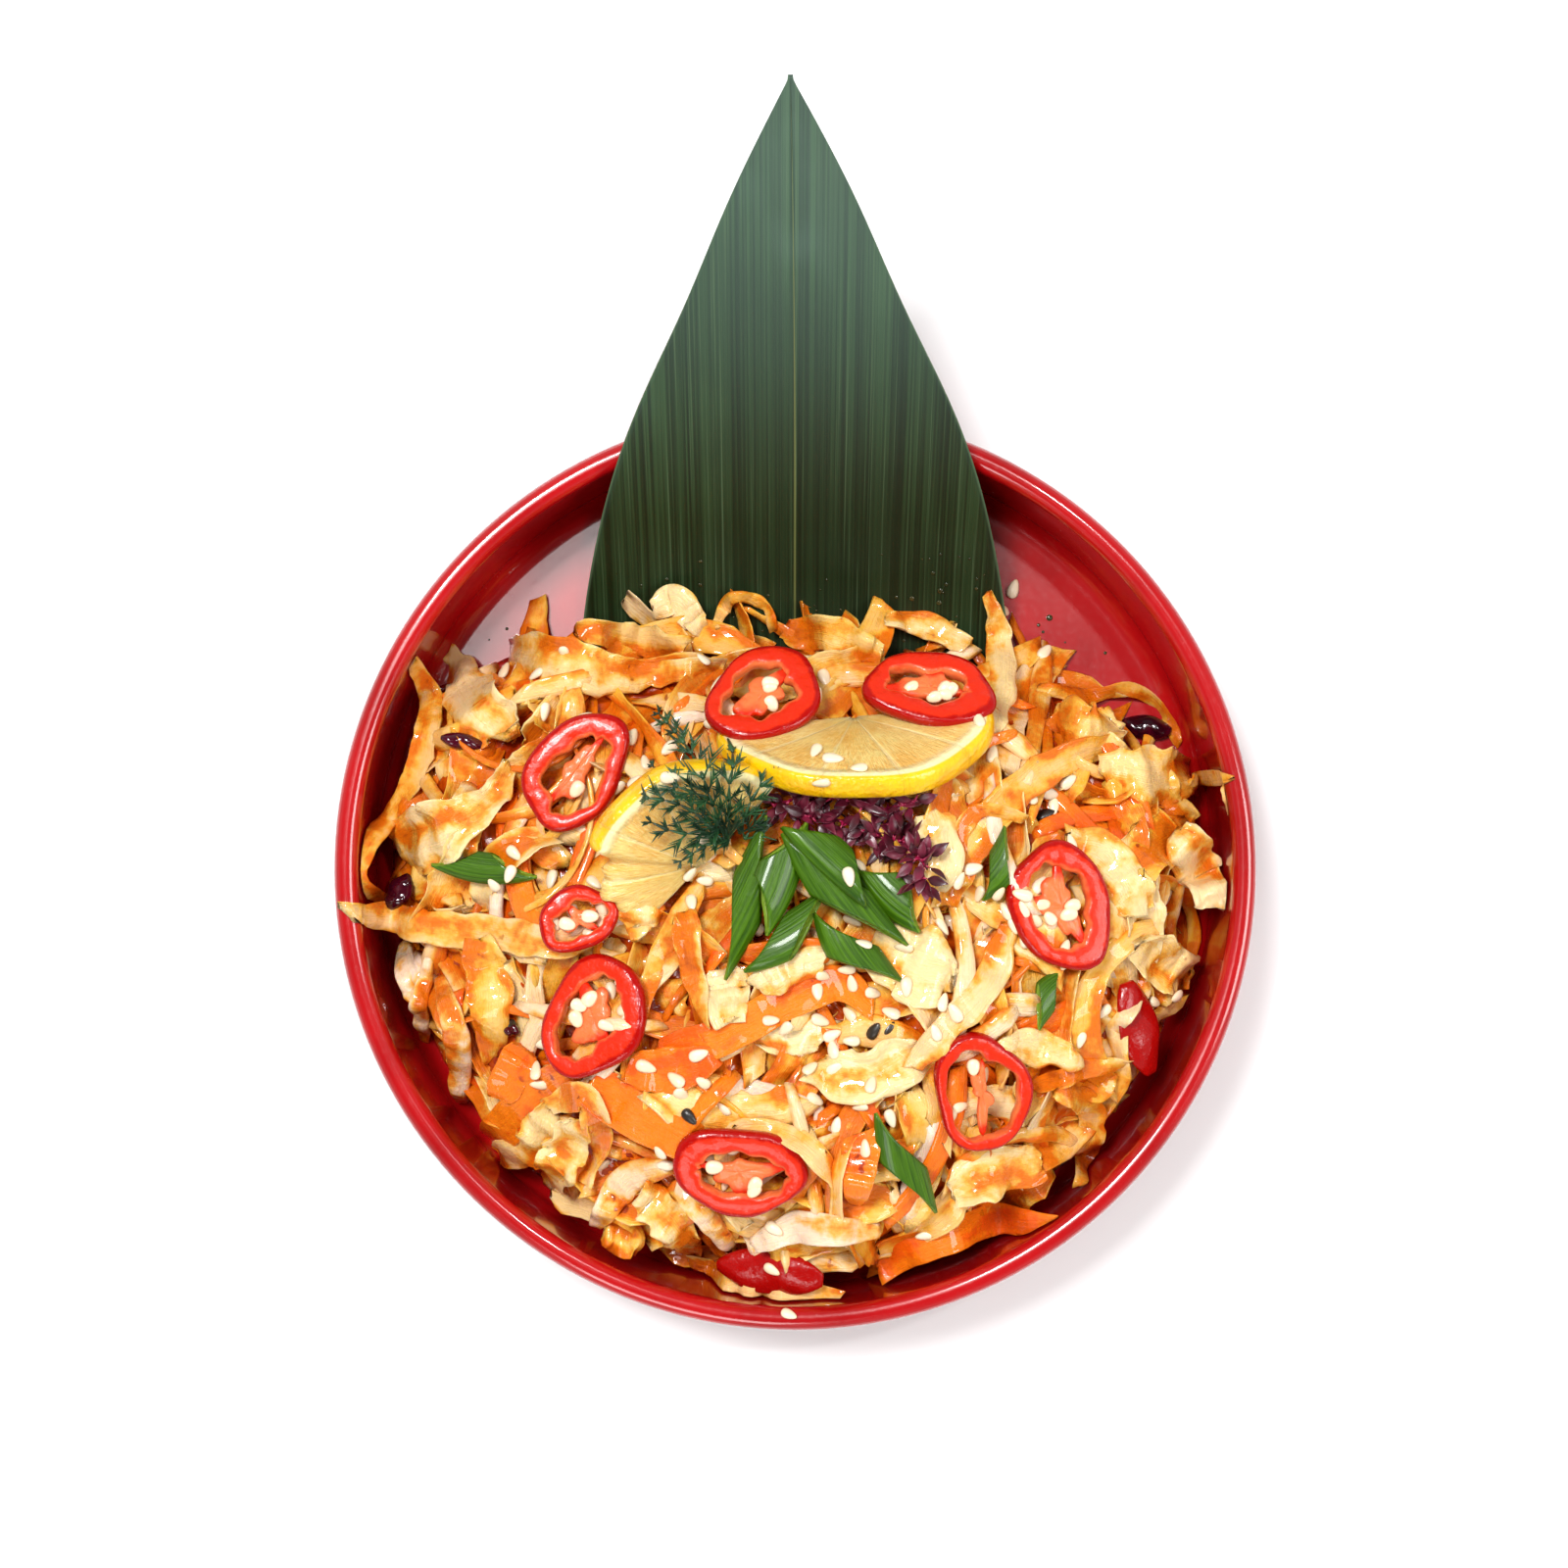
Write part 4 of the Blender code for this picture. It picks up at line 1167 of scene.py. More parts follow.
class Cut(Enum):
    """Kinds of cut vegetable in the heap."""

    RIBBON = "cabbage_ribbons"
    CHUNK = "cabbage_chunks"
    RIB = "cabbage_ribs"
    FINE = "cabbage_threads"
    CARROT = "carrot_strips"


class CutSizes(NamedTuple):
    """What a kind of cut varies within: its share of the strips, millimetres, and degrees for turns."""

    share: float
    length: tuple[float, float]
    width: tuple[float, float]
    thickness: tuple[float, float]
    bend: float
    roll: float
    twist: float
    cup: float
    ruffle: float
    crumple: float
    stations: int
    around: int


CUTS = {
    Cut.RIBBON: CutSizes(0.34, (18, 40), (3.2, 7.0), (0.8, 1.2), 130, 45, 120, 0.14, 0.9, 0.8, 20, 12),
    Cut.CHUNK: CutSizes(0.25, (10, 21), (6.0, 11.0), (0.9, 1.4), 60, 35, 60, 0.20, 1.2, 1.3, 15, 16),
    Cut.RIB: CutSizes(0.15, (10, 24), (2.6, 4.8), (1.8, 2.8), 40, 30, 30, 0.0, 0.2, 0.35, 12, 10),
    Cut.FINE: CutSizes(0.17, (14, 32), (1.3, 2.6), (0.8, 1.1), 200, 40, 120, 0.0, 0.4, 0.45, 18, 8),
    Cut.CARROT: CutSizes(0.09, (12, 28), (2.4, 5.5), (0.8, 1.2), 40, 30, 40, 0.0, 0.2, 0.12, 12, 10),
}


@dataclass
class Heap:
    """The dressed cabbage and carrot, filled up to the heap's dome and finished on top with listed pieces."""

    sunk: float = 12.0
    short: float = 4.0
    film_sag: float = 3.2
    film_thickness: float = 0.5
    film_share: float = 0.97
    bed_share: float = 0.985
    averaged: tuple = (1.6, 3.4, 5.0)
    most: int = 1250
    seed: int = 8
    tolerance: float = 1.0
    offers: int = 40
    shrinks: tuple = (1.0, 0.85, 0.7, 0.5)
    laid: dict[Cut, list[tuple[Array, dict[str, Array]]]] = field(default_factory=dict)

    def fill(self, pile: Pile) -> None:
        """Drops strips where the pile is lowest, until it reaches the heap's dome.

        Args:
            pile: what is filled.
        """
        chance = np.random.default_rng(self.seed)
        kinds = list(CUTS)
        shares = np.array([sizes.share for sizes in CUTS.values()])
        cutters = {kind: Cutter(sizes.stations, sizes.around) for kind, sizes in CUTS.items()}
        spots = np.argwhere(pile.inside)
        for _ in range(self.most):
            offered = spots[chance.integers(0, len(spots), self.offers)]
            lack = (pile.target - pile.height)[offered[:, 0], offered[:, 1]]
            best = offered[np.argmax(lack)]
            if lack.max() < self.tolerance:
                break
            kind = kinds[chance.choice(len(kinds), p=shares / shares.sum())]
            strip = self.random_strip(kind, pile.grid[best[0], best[1]], chance)
            if strip is not None:
                self.laid.setdefault(kind, []).append(cutters[kind].lay(strip, pile))
        log.info("pile: %s", {k.value: len(v) for k, v in self.laid.items()})

    def random_strip(self, kind: Cut, place: Array, chance: Chance) -> Strip | None:
        """A strip of that kind around a place, or None if it can't lie clear of the bowl's wall.

        Args:
            kind: the cut.
            place: the middle of its path.
            chance: random draws.

        Returns:
            The strip, or None.
        """
        sizes = CUTS[kind]
        for shrink in self.shrinks:
            length = chance.uniform(*sizes.length) * shrink
            width = chance.uniform(*sizes.width)
            heading = chance.uniform(0, TAU)
            turn = np.radians(chance.uniform(-sizes.bend, sizes.bend))
            steps = compass(heading + turn * (np.linspace(0, 1, 5) - 0.5)) * length / 4
            path = np.concatenate([[[0.0, 0.0]], np.cumsum(steps, axis=0)])
            path += place - path.mean(axis=0)
            if np.hypot(*path.T).max() < RIM_RADIUS - WALL - 2 * CLEARANCE - width * 0.4:
                break
        else:
            return None
        shape = chance.uniform(0.55, 1.0, 4)
        return Strip(
            path=path,
            widths=tuple(width * shape / shape.max()),
            thickness=chance.uniform(*sizes.thickness),
            roll=chance.uniform(-sizes.roll, sizes.roll),
            twist=chance.uniform(-sizes.twist, sizes.twist),
            cup=chance.uniform(-sizes.cup, sizes.cup * 1.6),
            ruffle=chance.uniform(0.2, 1.0) * sizes.ruffle,
            crumple=chance.uniform(0.5, 1.0) * sizes.crumple,
            waves=chance.uniform(1.2, 3.5),
            stiff=int(chance.integers(1, 5)),
            arch=chance.uniform(0.0, 1.0) ** 2 * 1.4,
            slant=chance.uniform(-0.5, 0.5),
            tint=chance.uniform(0.0, 1.0),
            phase=chance.uniform(0, TAU),
        )

    def top(self, pile: Pile) -> None:
        """Lays the pieces of TOP_PIECES, each in its own place.

        Args:
            pile: what they lie on.
        """
        chance = np.random.default_rng(self.seed + 1)
        fine = Cutter(34, 22, 0.35)
        for kind, path, widths, thickness, tint, roll, twist, ruffle in TOP_PIECES:
            strip = Strip(
                path=plan_of(path), widths=widths, thickness=thickness, roll=roll, twist=twist, ruffle=ruffle,
                crumple=CUTS[kind].crumple, cup=0.08, waves=chance.uniform(1.5, 3.0), stiff=4, arch=0.3,
                slant=chance.uniform(-0.3, 0.3), tint=tint, phase=chance.uniform(0, TAU),
            )
            self.laid.setdefault(kind, []).append(fine.lay(strip, pile))

    def build(self, pile: Pile) -> None:
        """Makes one piece of each kind of cut, and the bed they lie on.

        Args:
            pile: the finished pile.
        """
        cream, gold = srgb(251, 216, 168), srgb(246, 178, 68)
        finishes = {
            Cut.RIBBON: Dressed("dressed_ribbon", cream, gold, soaked=0.02),
            Cut.CHUNK: Dressed("dressed_leaf", srgb(251, 222, 168), srgb(248, 194, 92)),
            Cut.RIB: Dressed("dressed_rib", srgb(252, 226, 202), srgb(250, 204, 138), soaked=-0.03),
            Cut.FINE: Dressed("dressed_thread", srgb(248, 200, 116), srgb(240, 150, 46), soaked=0.06),
            Cut.CARROT: Dressed(
                "dressed_carrot", srgb(250, 134, 20), srgb(244, 104, 8), wash=srgb(246, 124, 16),
                stain=srgb(234, 92, 8), deep=srgb(170, 50, 4),
            ),
        }
        self.build_bed(finishes[Cut.FINE].build())
        self.build_film(pile)
        for kind, laid in self.laid.items():
            groups: dict[tuple[int, int], list] = {}
            for grid, marks in laid:
                # depth darkens the dressed finishes, partly as painted shade deep in the pile
                marks["depth"] = pile.depth_of(grid)
                groups.setdefault(grid.shape[:2], []).append((grid, marks))
            shapes = []
            for group in groups.values():
                rings = np.stack([grid for grid, _ in group])
                marks = {name: np.stack([m[name] for _, m in group]) for name in group[0][1]}
                shapes.append(tubes(rings, marks))
            add_piece(kind.value, Shape.joined(shapes), finishes[kind].build())

    def build_film(self, pile: Pile) -> None:
        """The dressing between the shreds, darkened partly as painted shade in the gaps: the pile's surface,
        averaged and lowered, as a closed skin.

        Its height over a place is the mean of the pile round it less a sag, with fine lumps; it
        falls to the floor at the heap's edge, and its underside is a film's thickness below.

        Args:
            pile: the finished pile.
        """
        share = np.linspace(0.02, 1.0, 90) ** 0.75
        plan = heap_rings(share, 260, self.film_share)
        steps = np.concatenate([compass(circle(8)) * away for away in self.averaged])
        within = np.where(pile.inside, pile.height, FLOOR_TOP)
        mean = sum(within[pile.cells(plan + step)] for step in steps) / len(steps)
        mean = np.minimum(mean - self.film_sag, heap_target(plan) - 1.5)
        mean += 0.5 * ripple(plan, 4.0, 15) + 0.4 * ripple(plan, 9.0, 16)
        keep = FLOOR_TOP + (mean - FLOOR_TOP) * (1.0 - smooth_step(0.90, 1.0, share))[:, None]
        top = over(plan, np.maximum(keep, Pile.bed_height(plan, self.sunk) + 0.1))
        rings = np.concatenate([top - (0, 0, self.film_thickness), top[::-1]])[None]
        # the film's colours stand partly for the dressing and partly for painted shade in the gaps between
        # the shreds
        film = Liquid("dressing", srgb(214, 88, 8), srgb(140, 34, 2), 0.16)
        add_piece("dressing_shade_film", tubes(rings), film.build())

    def build_bed(self, material: bpy.types.Material) -> None:
        """The bed under the shreds: rings of the lowered dome, closed by a flat underside.

        Args:
            material: its finish.
        """
        plan = heap_rings(np.linspace(0.02, 1.0, 40) ** 0.8, 120, self.bed_share)
        top = over(plan, Pile.bed_height(plan, self.sunk))
        rim = plan[-1:]
        midline = leaf_midline(60)
        lift = np.interp(rim[..., 1], midline[:, 0], midline[:, 1], left=0.0) + 1.2
        on_leaf = (rim[..., 1] > LEAF_START[0]) & (np.abs(rim[..., 0]) < LEAF_HALF_WIDTH + 3.0)
        under = np.maximum(FLOOR_TOP + 0.3, np.where(on_leaf, lift, 0.0))
        low = over(rim, np.minimum(under, top[-1:, :, 2] + 4.0))
        top[..., 2] = np.maximum(top[..., 2], low[..., 2])
        # the bed counts as deep in the pile, so its finish is darkened: painted shade under the shreds
        marks = {"tint": 0.8, "depth": 0.8, "fold": 0.0, "across": 1.0, "along": 1.0}
        shape = tubes(np.concatenate([low, top[::-1]])[None], marks)
        add_piece("cabbage_bed", shape, material, "dressed_cabbage", "salad")


# kind, path of view places, widths, thickness, tint, roll, twist, ruffle
TOP_PIECES = (
    (Cut.CHUNK, ((1000, 760), (1020, 700), (1022, 640), (1010, 605)), (4, 6, 5, 3), 1.2, 0.3, 10, 20, 0.3),
    (Cut.CHUNK, ((905, 630), (945, 634), (990, 656)), (3.5, 5, 4), 2.4, 0.25, 0, 10, 0.2),
    (Cut.RIBBON, ((728, 640), (745, 608), (780, 612), (790, 640)), (2.2, 2.6, 2.4), 1, 0.7, 30, 60, 0.2),
    (Cut.CHUNK, ((515, 660), (575, 680), (640, 690), (740, 680)), (7.5, 10, 4.6, 3.6), 1.2, 0.35, 0, 10, 0.6),
    (Cut.CHUNK, ((445, 660), (480, 710), (520, 750)), (4, 10, 11), 1.2, 0.2, 8, 10, 0.7),
    (Cut.RIBBON, ((422, 672), (438, 730), (424, 790), (385, 850), (370, 890), (388, 922)),
     (3.6, 4.6, 4.4, 3.6, 4.4, 3.2), 1.3, 0.55, 10, 20, 0.3),
    (Cut.CHUNK, ((405, 865), (450, 850), (500, 815), (520, 780)), (12, 12, 6, 4), 1.4, 0.15, -6, 10, 0.8),
    (Cut.RIBBON, ((352, 930), (430, 942), (520, 955), (590, 962), (618, 935)), (5.2, 5.8, 6.4, 5.6, 3), 1.6,
     0.3, 0, 12, 0.3),
    (Cut.RIB, ((402, 966), (418, 995), (428, 1024)), (3.4, 4.2, 3.6), 2.4, 0.3, 0, 0, 0),
    (Cut.RIB, ((440, 975), (432, 1020), (420, 1070)), (2.2, 3.2, 2.6), 2, 0.4, 0, 0, 0),
    (Cut.RIB, ((450, 998), (470, 1050), (462, 1130)), (3, 5, 3.4), 2.6, 0.2, 0, 0, 0),
    (Cut.CHUNK, ((490, 960), (500, 1020), (500, 1080)), (7, 8, 4), 1.4, 0.8, 0, 10, 0.4),
    (Cut.CARROT, ((492, 1175), (535, 1130), (588, 1092)), (7, 7.6, 7.2), 1.2, 0.2, 0, 0, 0),
    (Cut.CARROT, ((600, 1105), (660, 1138), (720, 1172)), (8.4, 8.8, 7), 1.2, 0.4, 0, 0, 0),
    (Cut.CARROT, ((668, 1078), (740, 1055), (806, 1020), (856, 1004), (892, 1030)), (7.5, 6.4, 6.2, 6.6, 5),
     1.2, 0.1, 0, 0, 0.2),
    (Cut.CARROT, ((640, 1090), (690, 1090), (730, 1075)), (6, 8, 5), 1.1, 0.6, 0, 0, 0.3),
    (Cut.CARROT, ((512, 1118), (535, 1070)), (6, 7), 1.1, 0.5, 0, 0, 0),
    (Cut.CARROT, ((880, 1155), (872, 1228)), (7, 6, 3.2), 1.3, 0.2, 8, 0, 0),
    (Cut.CARROT, ((897, 1302), (935, 1270), (985, 1252), (1080, 1240)), (5, 6, 6, 4), 1.2, 0.4, 0, 10, 0.2),
    (Cut.CARROT, ((990, 762), (1035, 748)), (2.6, 1.6), 1.1, 0.3, 0, 0, 0),
    (Cut.CHUNK, ((500, 1190), (545, 1165), (560, 1125)), (5, 8, 5), 1.2, 0.4, 12, 40, 1.2),
    (Cut.RIBBON, ((560, 1128), (600, 1115), (612, 1160), (600, 1205)), (4.5, 5.5, 4.5), 1.2, 0.4,
     20, 60, 0.9),
    (Cut.CHUNK, ((555, 1215), (580, 1170), (590, 1140)), (6, 8, 6), 1.3, 0.3, -10, 20, 0.8),
    (Cut.RIB, ((608, 1250), (640, 1205), (685, 1188)), (3, 6, 4), 2.2, 0.5, 0, 20, 0.2),
    (Cut.CHUNK, ((655, 1215), (690, 1250), (705, 1290)), (7, 7, 4), 2, 0.2, 5, 10, 0.3),
    (Cut.RIB, ((690, 1210), (725, 1245), (748, 1278)), (3.4, 4, 3), 2, 0.4, 0, 10, 0.1),
    (Cut.RIB, ((770, 1268), (820, 1250), (895, 1252)), (4, 6, 3.6), 2.2, 0.2, 0, 12, 0.2),
    (Cut.RIBBON, ((700, 1298), (760, 1312), (860, 1318)), (3, 3.4, 2.6), 1, 0.5, 0, 0, 0.2),
    (Cut.CHUNK, ((890, 965), (935, 985), (975, 1000)), (7, 14, 9), 1.4, 0.15, 0, 6, 0.4),
    (Cut.CHUNK, ((828, 1090), (880, 1100), (945, 1072)), (7, 9.6, 8), 1.5, 0.15, 4, 6, 0.8),
    (Cut.RIBBON, ((1030, 945), (1010, 1000), (965, 1050), (932, 1090)), (4.6, 5.4, 5, 4.6), 1.3, 0.25,
     0, 20, 0.3),
    (Cut.CHUNK, ((738, 990), (745, 1042)), (7.5, 8, 7), 1.8, 0.05, 0, 0, 0.1),
    (Cut.CHUNK, ((775, 1005), (800, 990), (840, 978)), (6, 6, 5.5), 2, 0.05, 0, 0, 0.1),
    (Cut.RIBBON, ((700, 930), (705, 980), (722, 1045)), (5, 4.4, 2.4), 1.2, 0.35, 16, 40, 0.4),
    (Cut.CHUNK, ((650, 905), (655, 955)), (6, 8, 5), 2, 0.25, 0, 0, 0.2),
    (Cut.RIBBON, ((985, 905), (980, 850), (1005, 826), (1045, 835)), (3, 3.2, 2.6), 1.1, 0.5, 15, 30, 0.2),
    (Cut.CHUNK, ((950, 830), (960, 870), (955, 905)), (7, 7.5, 6), 1.6, 0.1, 0, 10, 0.3),
    (Cut.CHUNK, ((1120, 780), (1170, 792), (1226, 790)), (5, 11, 8), 1.3, 0.45, 0, 10, 1.4),
    (Cut.CHUNK, ((1195, 850), (1220, 885), (1240, 925)), (8, 9, 6), 1.8, 0.05, 0, 8, 0.4),
    (Cut.RIBBON, ((1060, 700), (1118, 708), (1160, 700), (1195, 716), (1218, 758)), (2.4, 3, 2.8, 2.6, 2.2),
     1, 0.6, 20, 60, 0.7),
    (Cut.CHUNK, ((1075, 730), (1110, 745), (1140, 730)), (7, 9, 6), 1.1, 0.6, 10, 20, 1.2),
    (Cut.CHUNK, ((1090, 860), (1130, 880), (1160, 930)), (8, 9, 8), 1.4, 0.2, 0, 12, 0.6),
    (Cut.RIBBON, ((1215, 800), (1245, 795), (1250, 830)), (3, 3, 2.4), 1.1, 0.6, 30, 40, 0.5),
    (Cut.CHUNK, ((1160, 960), (1190, 985), (1225, 1000)), (8, 9, 7), 1.3, 0.4, 0, 14, 0.9),
    (Cut.RIBBON, ((1055, 1112), (1100, 1092), (1152, 1082)), (3, 3.6, 2.6), 1.1, 0.55, 10, 40, 0.5),
    (Cut.RIBBON, ((1075, 1110), (1112, 1130), (1115, 1175), (1100, 1210)), (4, 5, 5, 3.6), 1.2, 0.45,
     15, 60, 1),
    (Cut.CHUNK, ((970, 1215), (1010, 1195), (1060, 1185)), (8, 9, 7), 1.5, 0.25, 0, 10, 0.8),
    (Cut.CHUNK, ((1020, 1060), (1060, 1070), (1100, 1080)), (4, 7, 4), 1.3, 0.3, 5, 20, 0.6),
    (Cut.CHUNK, ((590, 645), (650, 652), (700, 660)), (4, 6, 5), 1.2, 0.6, 12, 30, 1),
    (Cut.CHUNK, ((665, 620), (690, 612), (715, 640)), (5, 6, 4), 1.4, 0.15, 10, 20, 0.6),
    (Cut.CHUNK, ((800, 640), (850, 650), (900, 670)), (5, 7, 5), 1.2, 0.7, 8, 30, 1.1),
)


# --- laid toppings ---


def settled(grid: Array, heading: float, spot: tuple, reach: float, pile: Pile, sink: float) -> Array:
    """A flat-lying piece leaned to the pile's slope and lifted until it no longer cuts in.

    Args:
        grid: (n, m, 3) points about the origin, with +Z as its upper side.
        heading: degrees that it is turned by.
        spot: where it shows in the view.
        reach: radius of the pile that it leans with.
        pile: what it lies on.
        sink: how far it may press into what lies under it.

    Returns:
        The points in place.
    """
    x, y = from_view(*spot)
    normal, level = pile.tilt(x, y, reach)
    normal = unit(normal + (0.0, 0.0, UPRIGHTNESS))
    right = unit(np.cross((0.0, 1.0, 0.0), normal))
    back = np.cross(normal, right)
    grid = turned(grid, heading, 2)
    placed = grid[..., :1] * right + grid[..., 1:2] * back + grid[..., 2:] * normal + (x, y, level)
    into = pile.at(placed[..., :2]) - placed[..., 2]
    placed[..., 2] += max(float(np.percentile(into, TOUCHING_PERCENT)) - sink, -2.0)
    return placed


@dataclass
class ChilliRings:
    """Slices of red chilli: an oval wall, arms of paler core, and flat seeds."""

    # column, row, half length, half width, heading, arms, seed count, fullness
    slices: tuple = (
        (780, 715, 10.2, 8.4, 42, 2, 3, 1.05),
        (945, 711, 11.0, 7.4, -8, 3, 5, 1.1),
        (588, 787, 10.8, 7.6, 55, 2, 1, 0.95),
        (1080, 925, 11.0, 8.6, 112, 3, 4, 0.95),
        (610, 1038, 10.6, 8.4, 60, 2, 3, 0.95),
        (1000, 1112, 10.4, 8.0, 108, 2, 1, 0.62),
        (755, 1190, 11.2, 7.6, -6, 3, 3, 1.0),
        (590, 938, 6.6, 5.2, 20, 2, 2, 0.9),
    )
    wall: float = 3.7
    thickness: float = 2.8
    seed_size: tuple = (2.9, 2.3, 0.9)
    seed: int = 17

    def build(self, pile: Pile) -> None:
        """Makes each slice as one piece with its core, and all their seeds as another.

        Args:
            pile: what they lie on.
        """
        chance = np.random.default_rng(self.seed)
        material = ChilliFlesh().build()
        seeds = []
        for number, (*spot, length, width, heading, arms, count, full) in enumerate(self.slices, 1):
            grids, marks = self.slice_grids(length, width, arms, full, chance)
            both = np.concatenate([grid.reshape(-1, 3) for grid in grids])
            placed = np.split(settled(both[None], heading, spot, width, pile, 0.7)[0], [grids[0].size // 3])
            wall, core = (part.reshape(grid.shape) for part, grid in zip(placed, grids))
            shape = Shape.joined([looped(wall, marks[0]), tubes(core[None], marks[1])])
            add_piece(f"chilli_slice_{number}", shape, material, "chilli_red", f"chilli_ring_{number}")
            seeds.append(self.seeds_of(wall, count, chance))
            pile.raise_to(wall[:, :7])
        seed = Kernel("chilli_seed", srgb(252, 226, 190), srgb(240, 190, 130))
        add_piece("chilli_seeds", Shape.joined(seeds), seed.build(), "chilli_red")

    def slice_grids(self, length: float, width: float, arms: int, full: float, chance: Chance) -> tuple:
        """The wall's ring and the star of the core.

        The wall is a rounded rectangle carried round an oval whose radius swells three times; it
        is thicker at each arm. The core is a flat star whose radius falls between its arms.

        Args:
            length: half length of the slice.
            width: half width.
            arms: number of arms.
            full: how thick the wall is and how far the core fills it.
            chance: random draws.

        Returns:
            The (n, m, 3) grids of the wall and the core, and the marks of both.
        """
        turn = circle(72)
        swell = 1.0 + 0.05 * np.sin(3 * turn + chance.uniform(0, TAU))
        swell += 0.025 * np.sin(5 * turn + chance.uniform(0, TAU))
        bearings = chance.uniform(0, TAU) + TAU * np.arange(arms) / arms + chance.uniform(-0.3, 0.3, arms)
        apart = np.abs((turn[:, None] - bearings + math.pi) % TAU - math.pi)
        arm, wide_arm = (np.exp(-((apart / half) ** 2)).max(axis=1) for half in (0.24, 0.5))
        round_section = np.linspace(math.pi, -math.pi, 16, endpoint=False)
        inward = 0.5 - 0.5 * squared(-np.cos(round_section), 0.6)
        upward = 0.5 * squared(np.sin(round_section), 0.55)
        uneven = 0.22 * np.sin(turn + chance.uniform(0, TAU))
        uneven += 0.10 * np.sin(5 * turn + chance.uniform(0, TAU))
        uneven += 0.07 * np.sin(11 * turn + chance.uniform(0, TAU))
        wall = self.wall * full * min(1.0, width / 7.5) * (0.88 + uneven + 0.32 * wide_arm)
        out = np.stack([length * swell * np.cos(turn), width * swell * np.sin(turn)], 1)
        normal = unit(np.stack([np.cos(turn) / length, np.sin(turn) / width], 1))
        bulge = 0.25 * np.sqrt(np.maximum(0.0, 1 - (2 * upward) ** 2))
        plan = out[:, None] - normal[:, None] * (inward * wall[:, None] - bulge * (inward < 0.5))[..., None]
        rough = 0.12 * ripple(plan, 3.0, 5)
        height = upward * self.thickness + rough * (upward > 0) + 0.5 * self.thickness
        ring = over(plan, height)[:, ::-1]
        inner = out - normal * wall[:, None] * 0.85
        reach = 0.56 * full**1.5 + 0.12 * np.sin(2 * turn + 1) + 0.06 * np.sin(5 * turn) + 0.60 * arm
        reach = np.clip(reach, 0.0, 1.0)
        shares = np.array([0.05, 0.35, 0.7, 0.93, 1.0, 1.0, 0.93, 0.5, 0.05])
        levels = np.array([1.0, 1.0, 0.95, 0.8, 0.45, -0.2, -0.6, -0.8, -0.8]) * 0.33 * self.thickness
        plan = shares[:, None, None] * (reach[:, None] * inner)[None]
        height = levels[:, None] * (1 - 0.2 * arm) + 0.48 * self.thickness + 0.16 * ripple(plan, 3.5, 9)
        core_inward = 1.05 - 0.5 * (shares[::-1, None] * reach) ** 3
        return (ring, over(plan, height)[::-1]), ({"inward": inward[::-1]}, {"inward": core_inward})

    def seeds_of(self, wall: Array, count: int, chance: Chance) -> Shape:
        """Flat round seeds set in the slice's opening.

        Args:
            wall: the slice's wall in place.
            count: number of seeds.
            chance: random draws.

        Returns:
            The seeds.
        """
        middle = wall.mean(axis=(0, 1))
        inner = wall[:, wall.shape[1] // 2]
        pick = inner[chance.integers(0, len(inner), count)]
        place = middle + (pick - middle) * chance.uniform(0.30, 0.72, (count, 1))
        place[:, 2] = wall[..., 2].mean() + 0.9 + 0.4 * (place[:, 2] - middle[2])
        upright = np.tile((0.0, 0.0, 1.0), (count, 1))
        return kernels(place, chance.uniform(0, TAU, count), upright, self.seed_size, 0.2, chance)


def kernels(
    places: Array, headings: Array, normals: Array, size: tuple, taper: float, chance: Chance
) -> Shape:
    """Seeds: ellipsoids narrowed towards one end, each lying on its own slope.

    Args:
        places: (k, 3) middles.
        headings: (k,) directions of the narrow end, in radians.
        normals: (k, 3) ways up.
        size: length, width and thickness.
        taper: how much narrower the pointed end is.
        chance: random draws.

    Returns:
        All the seeds, with the marks along and tint.
    """
    k = len(places)
    lean = np.linspace(0.14, math.pi - 0.14, 9)
    turn = circle(8)
    along = -np.cos(lean)
    girth = np.sin(lean) ** 0.85 * (1.0 - taper * along)
    scale = chance.uniform(0.88, 1.1, (k, 1, 1, 1))
    ahead = np.stack([np.cos(headings), np.sin(headings), np.zeros(k)], 1)
    side = unit(np.cross(normals, ahead))
    ahead = np.cross(side, normals)
    long, across, up = along[:, None], girth[:, None] * np.cos(turn), girth[:, None] * np.sin(turn)
    parts = (long * size[0] / 2, across * size[1] / 2, up * size[2] / 2)
    rings = places[:, None, None] + scale * spanned((ahead, side, normals), parts)
    return tubes(rings, {"along": long, "tint": chance.uniform(0, 1, (k, 1, 1))})


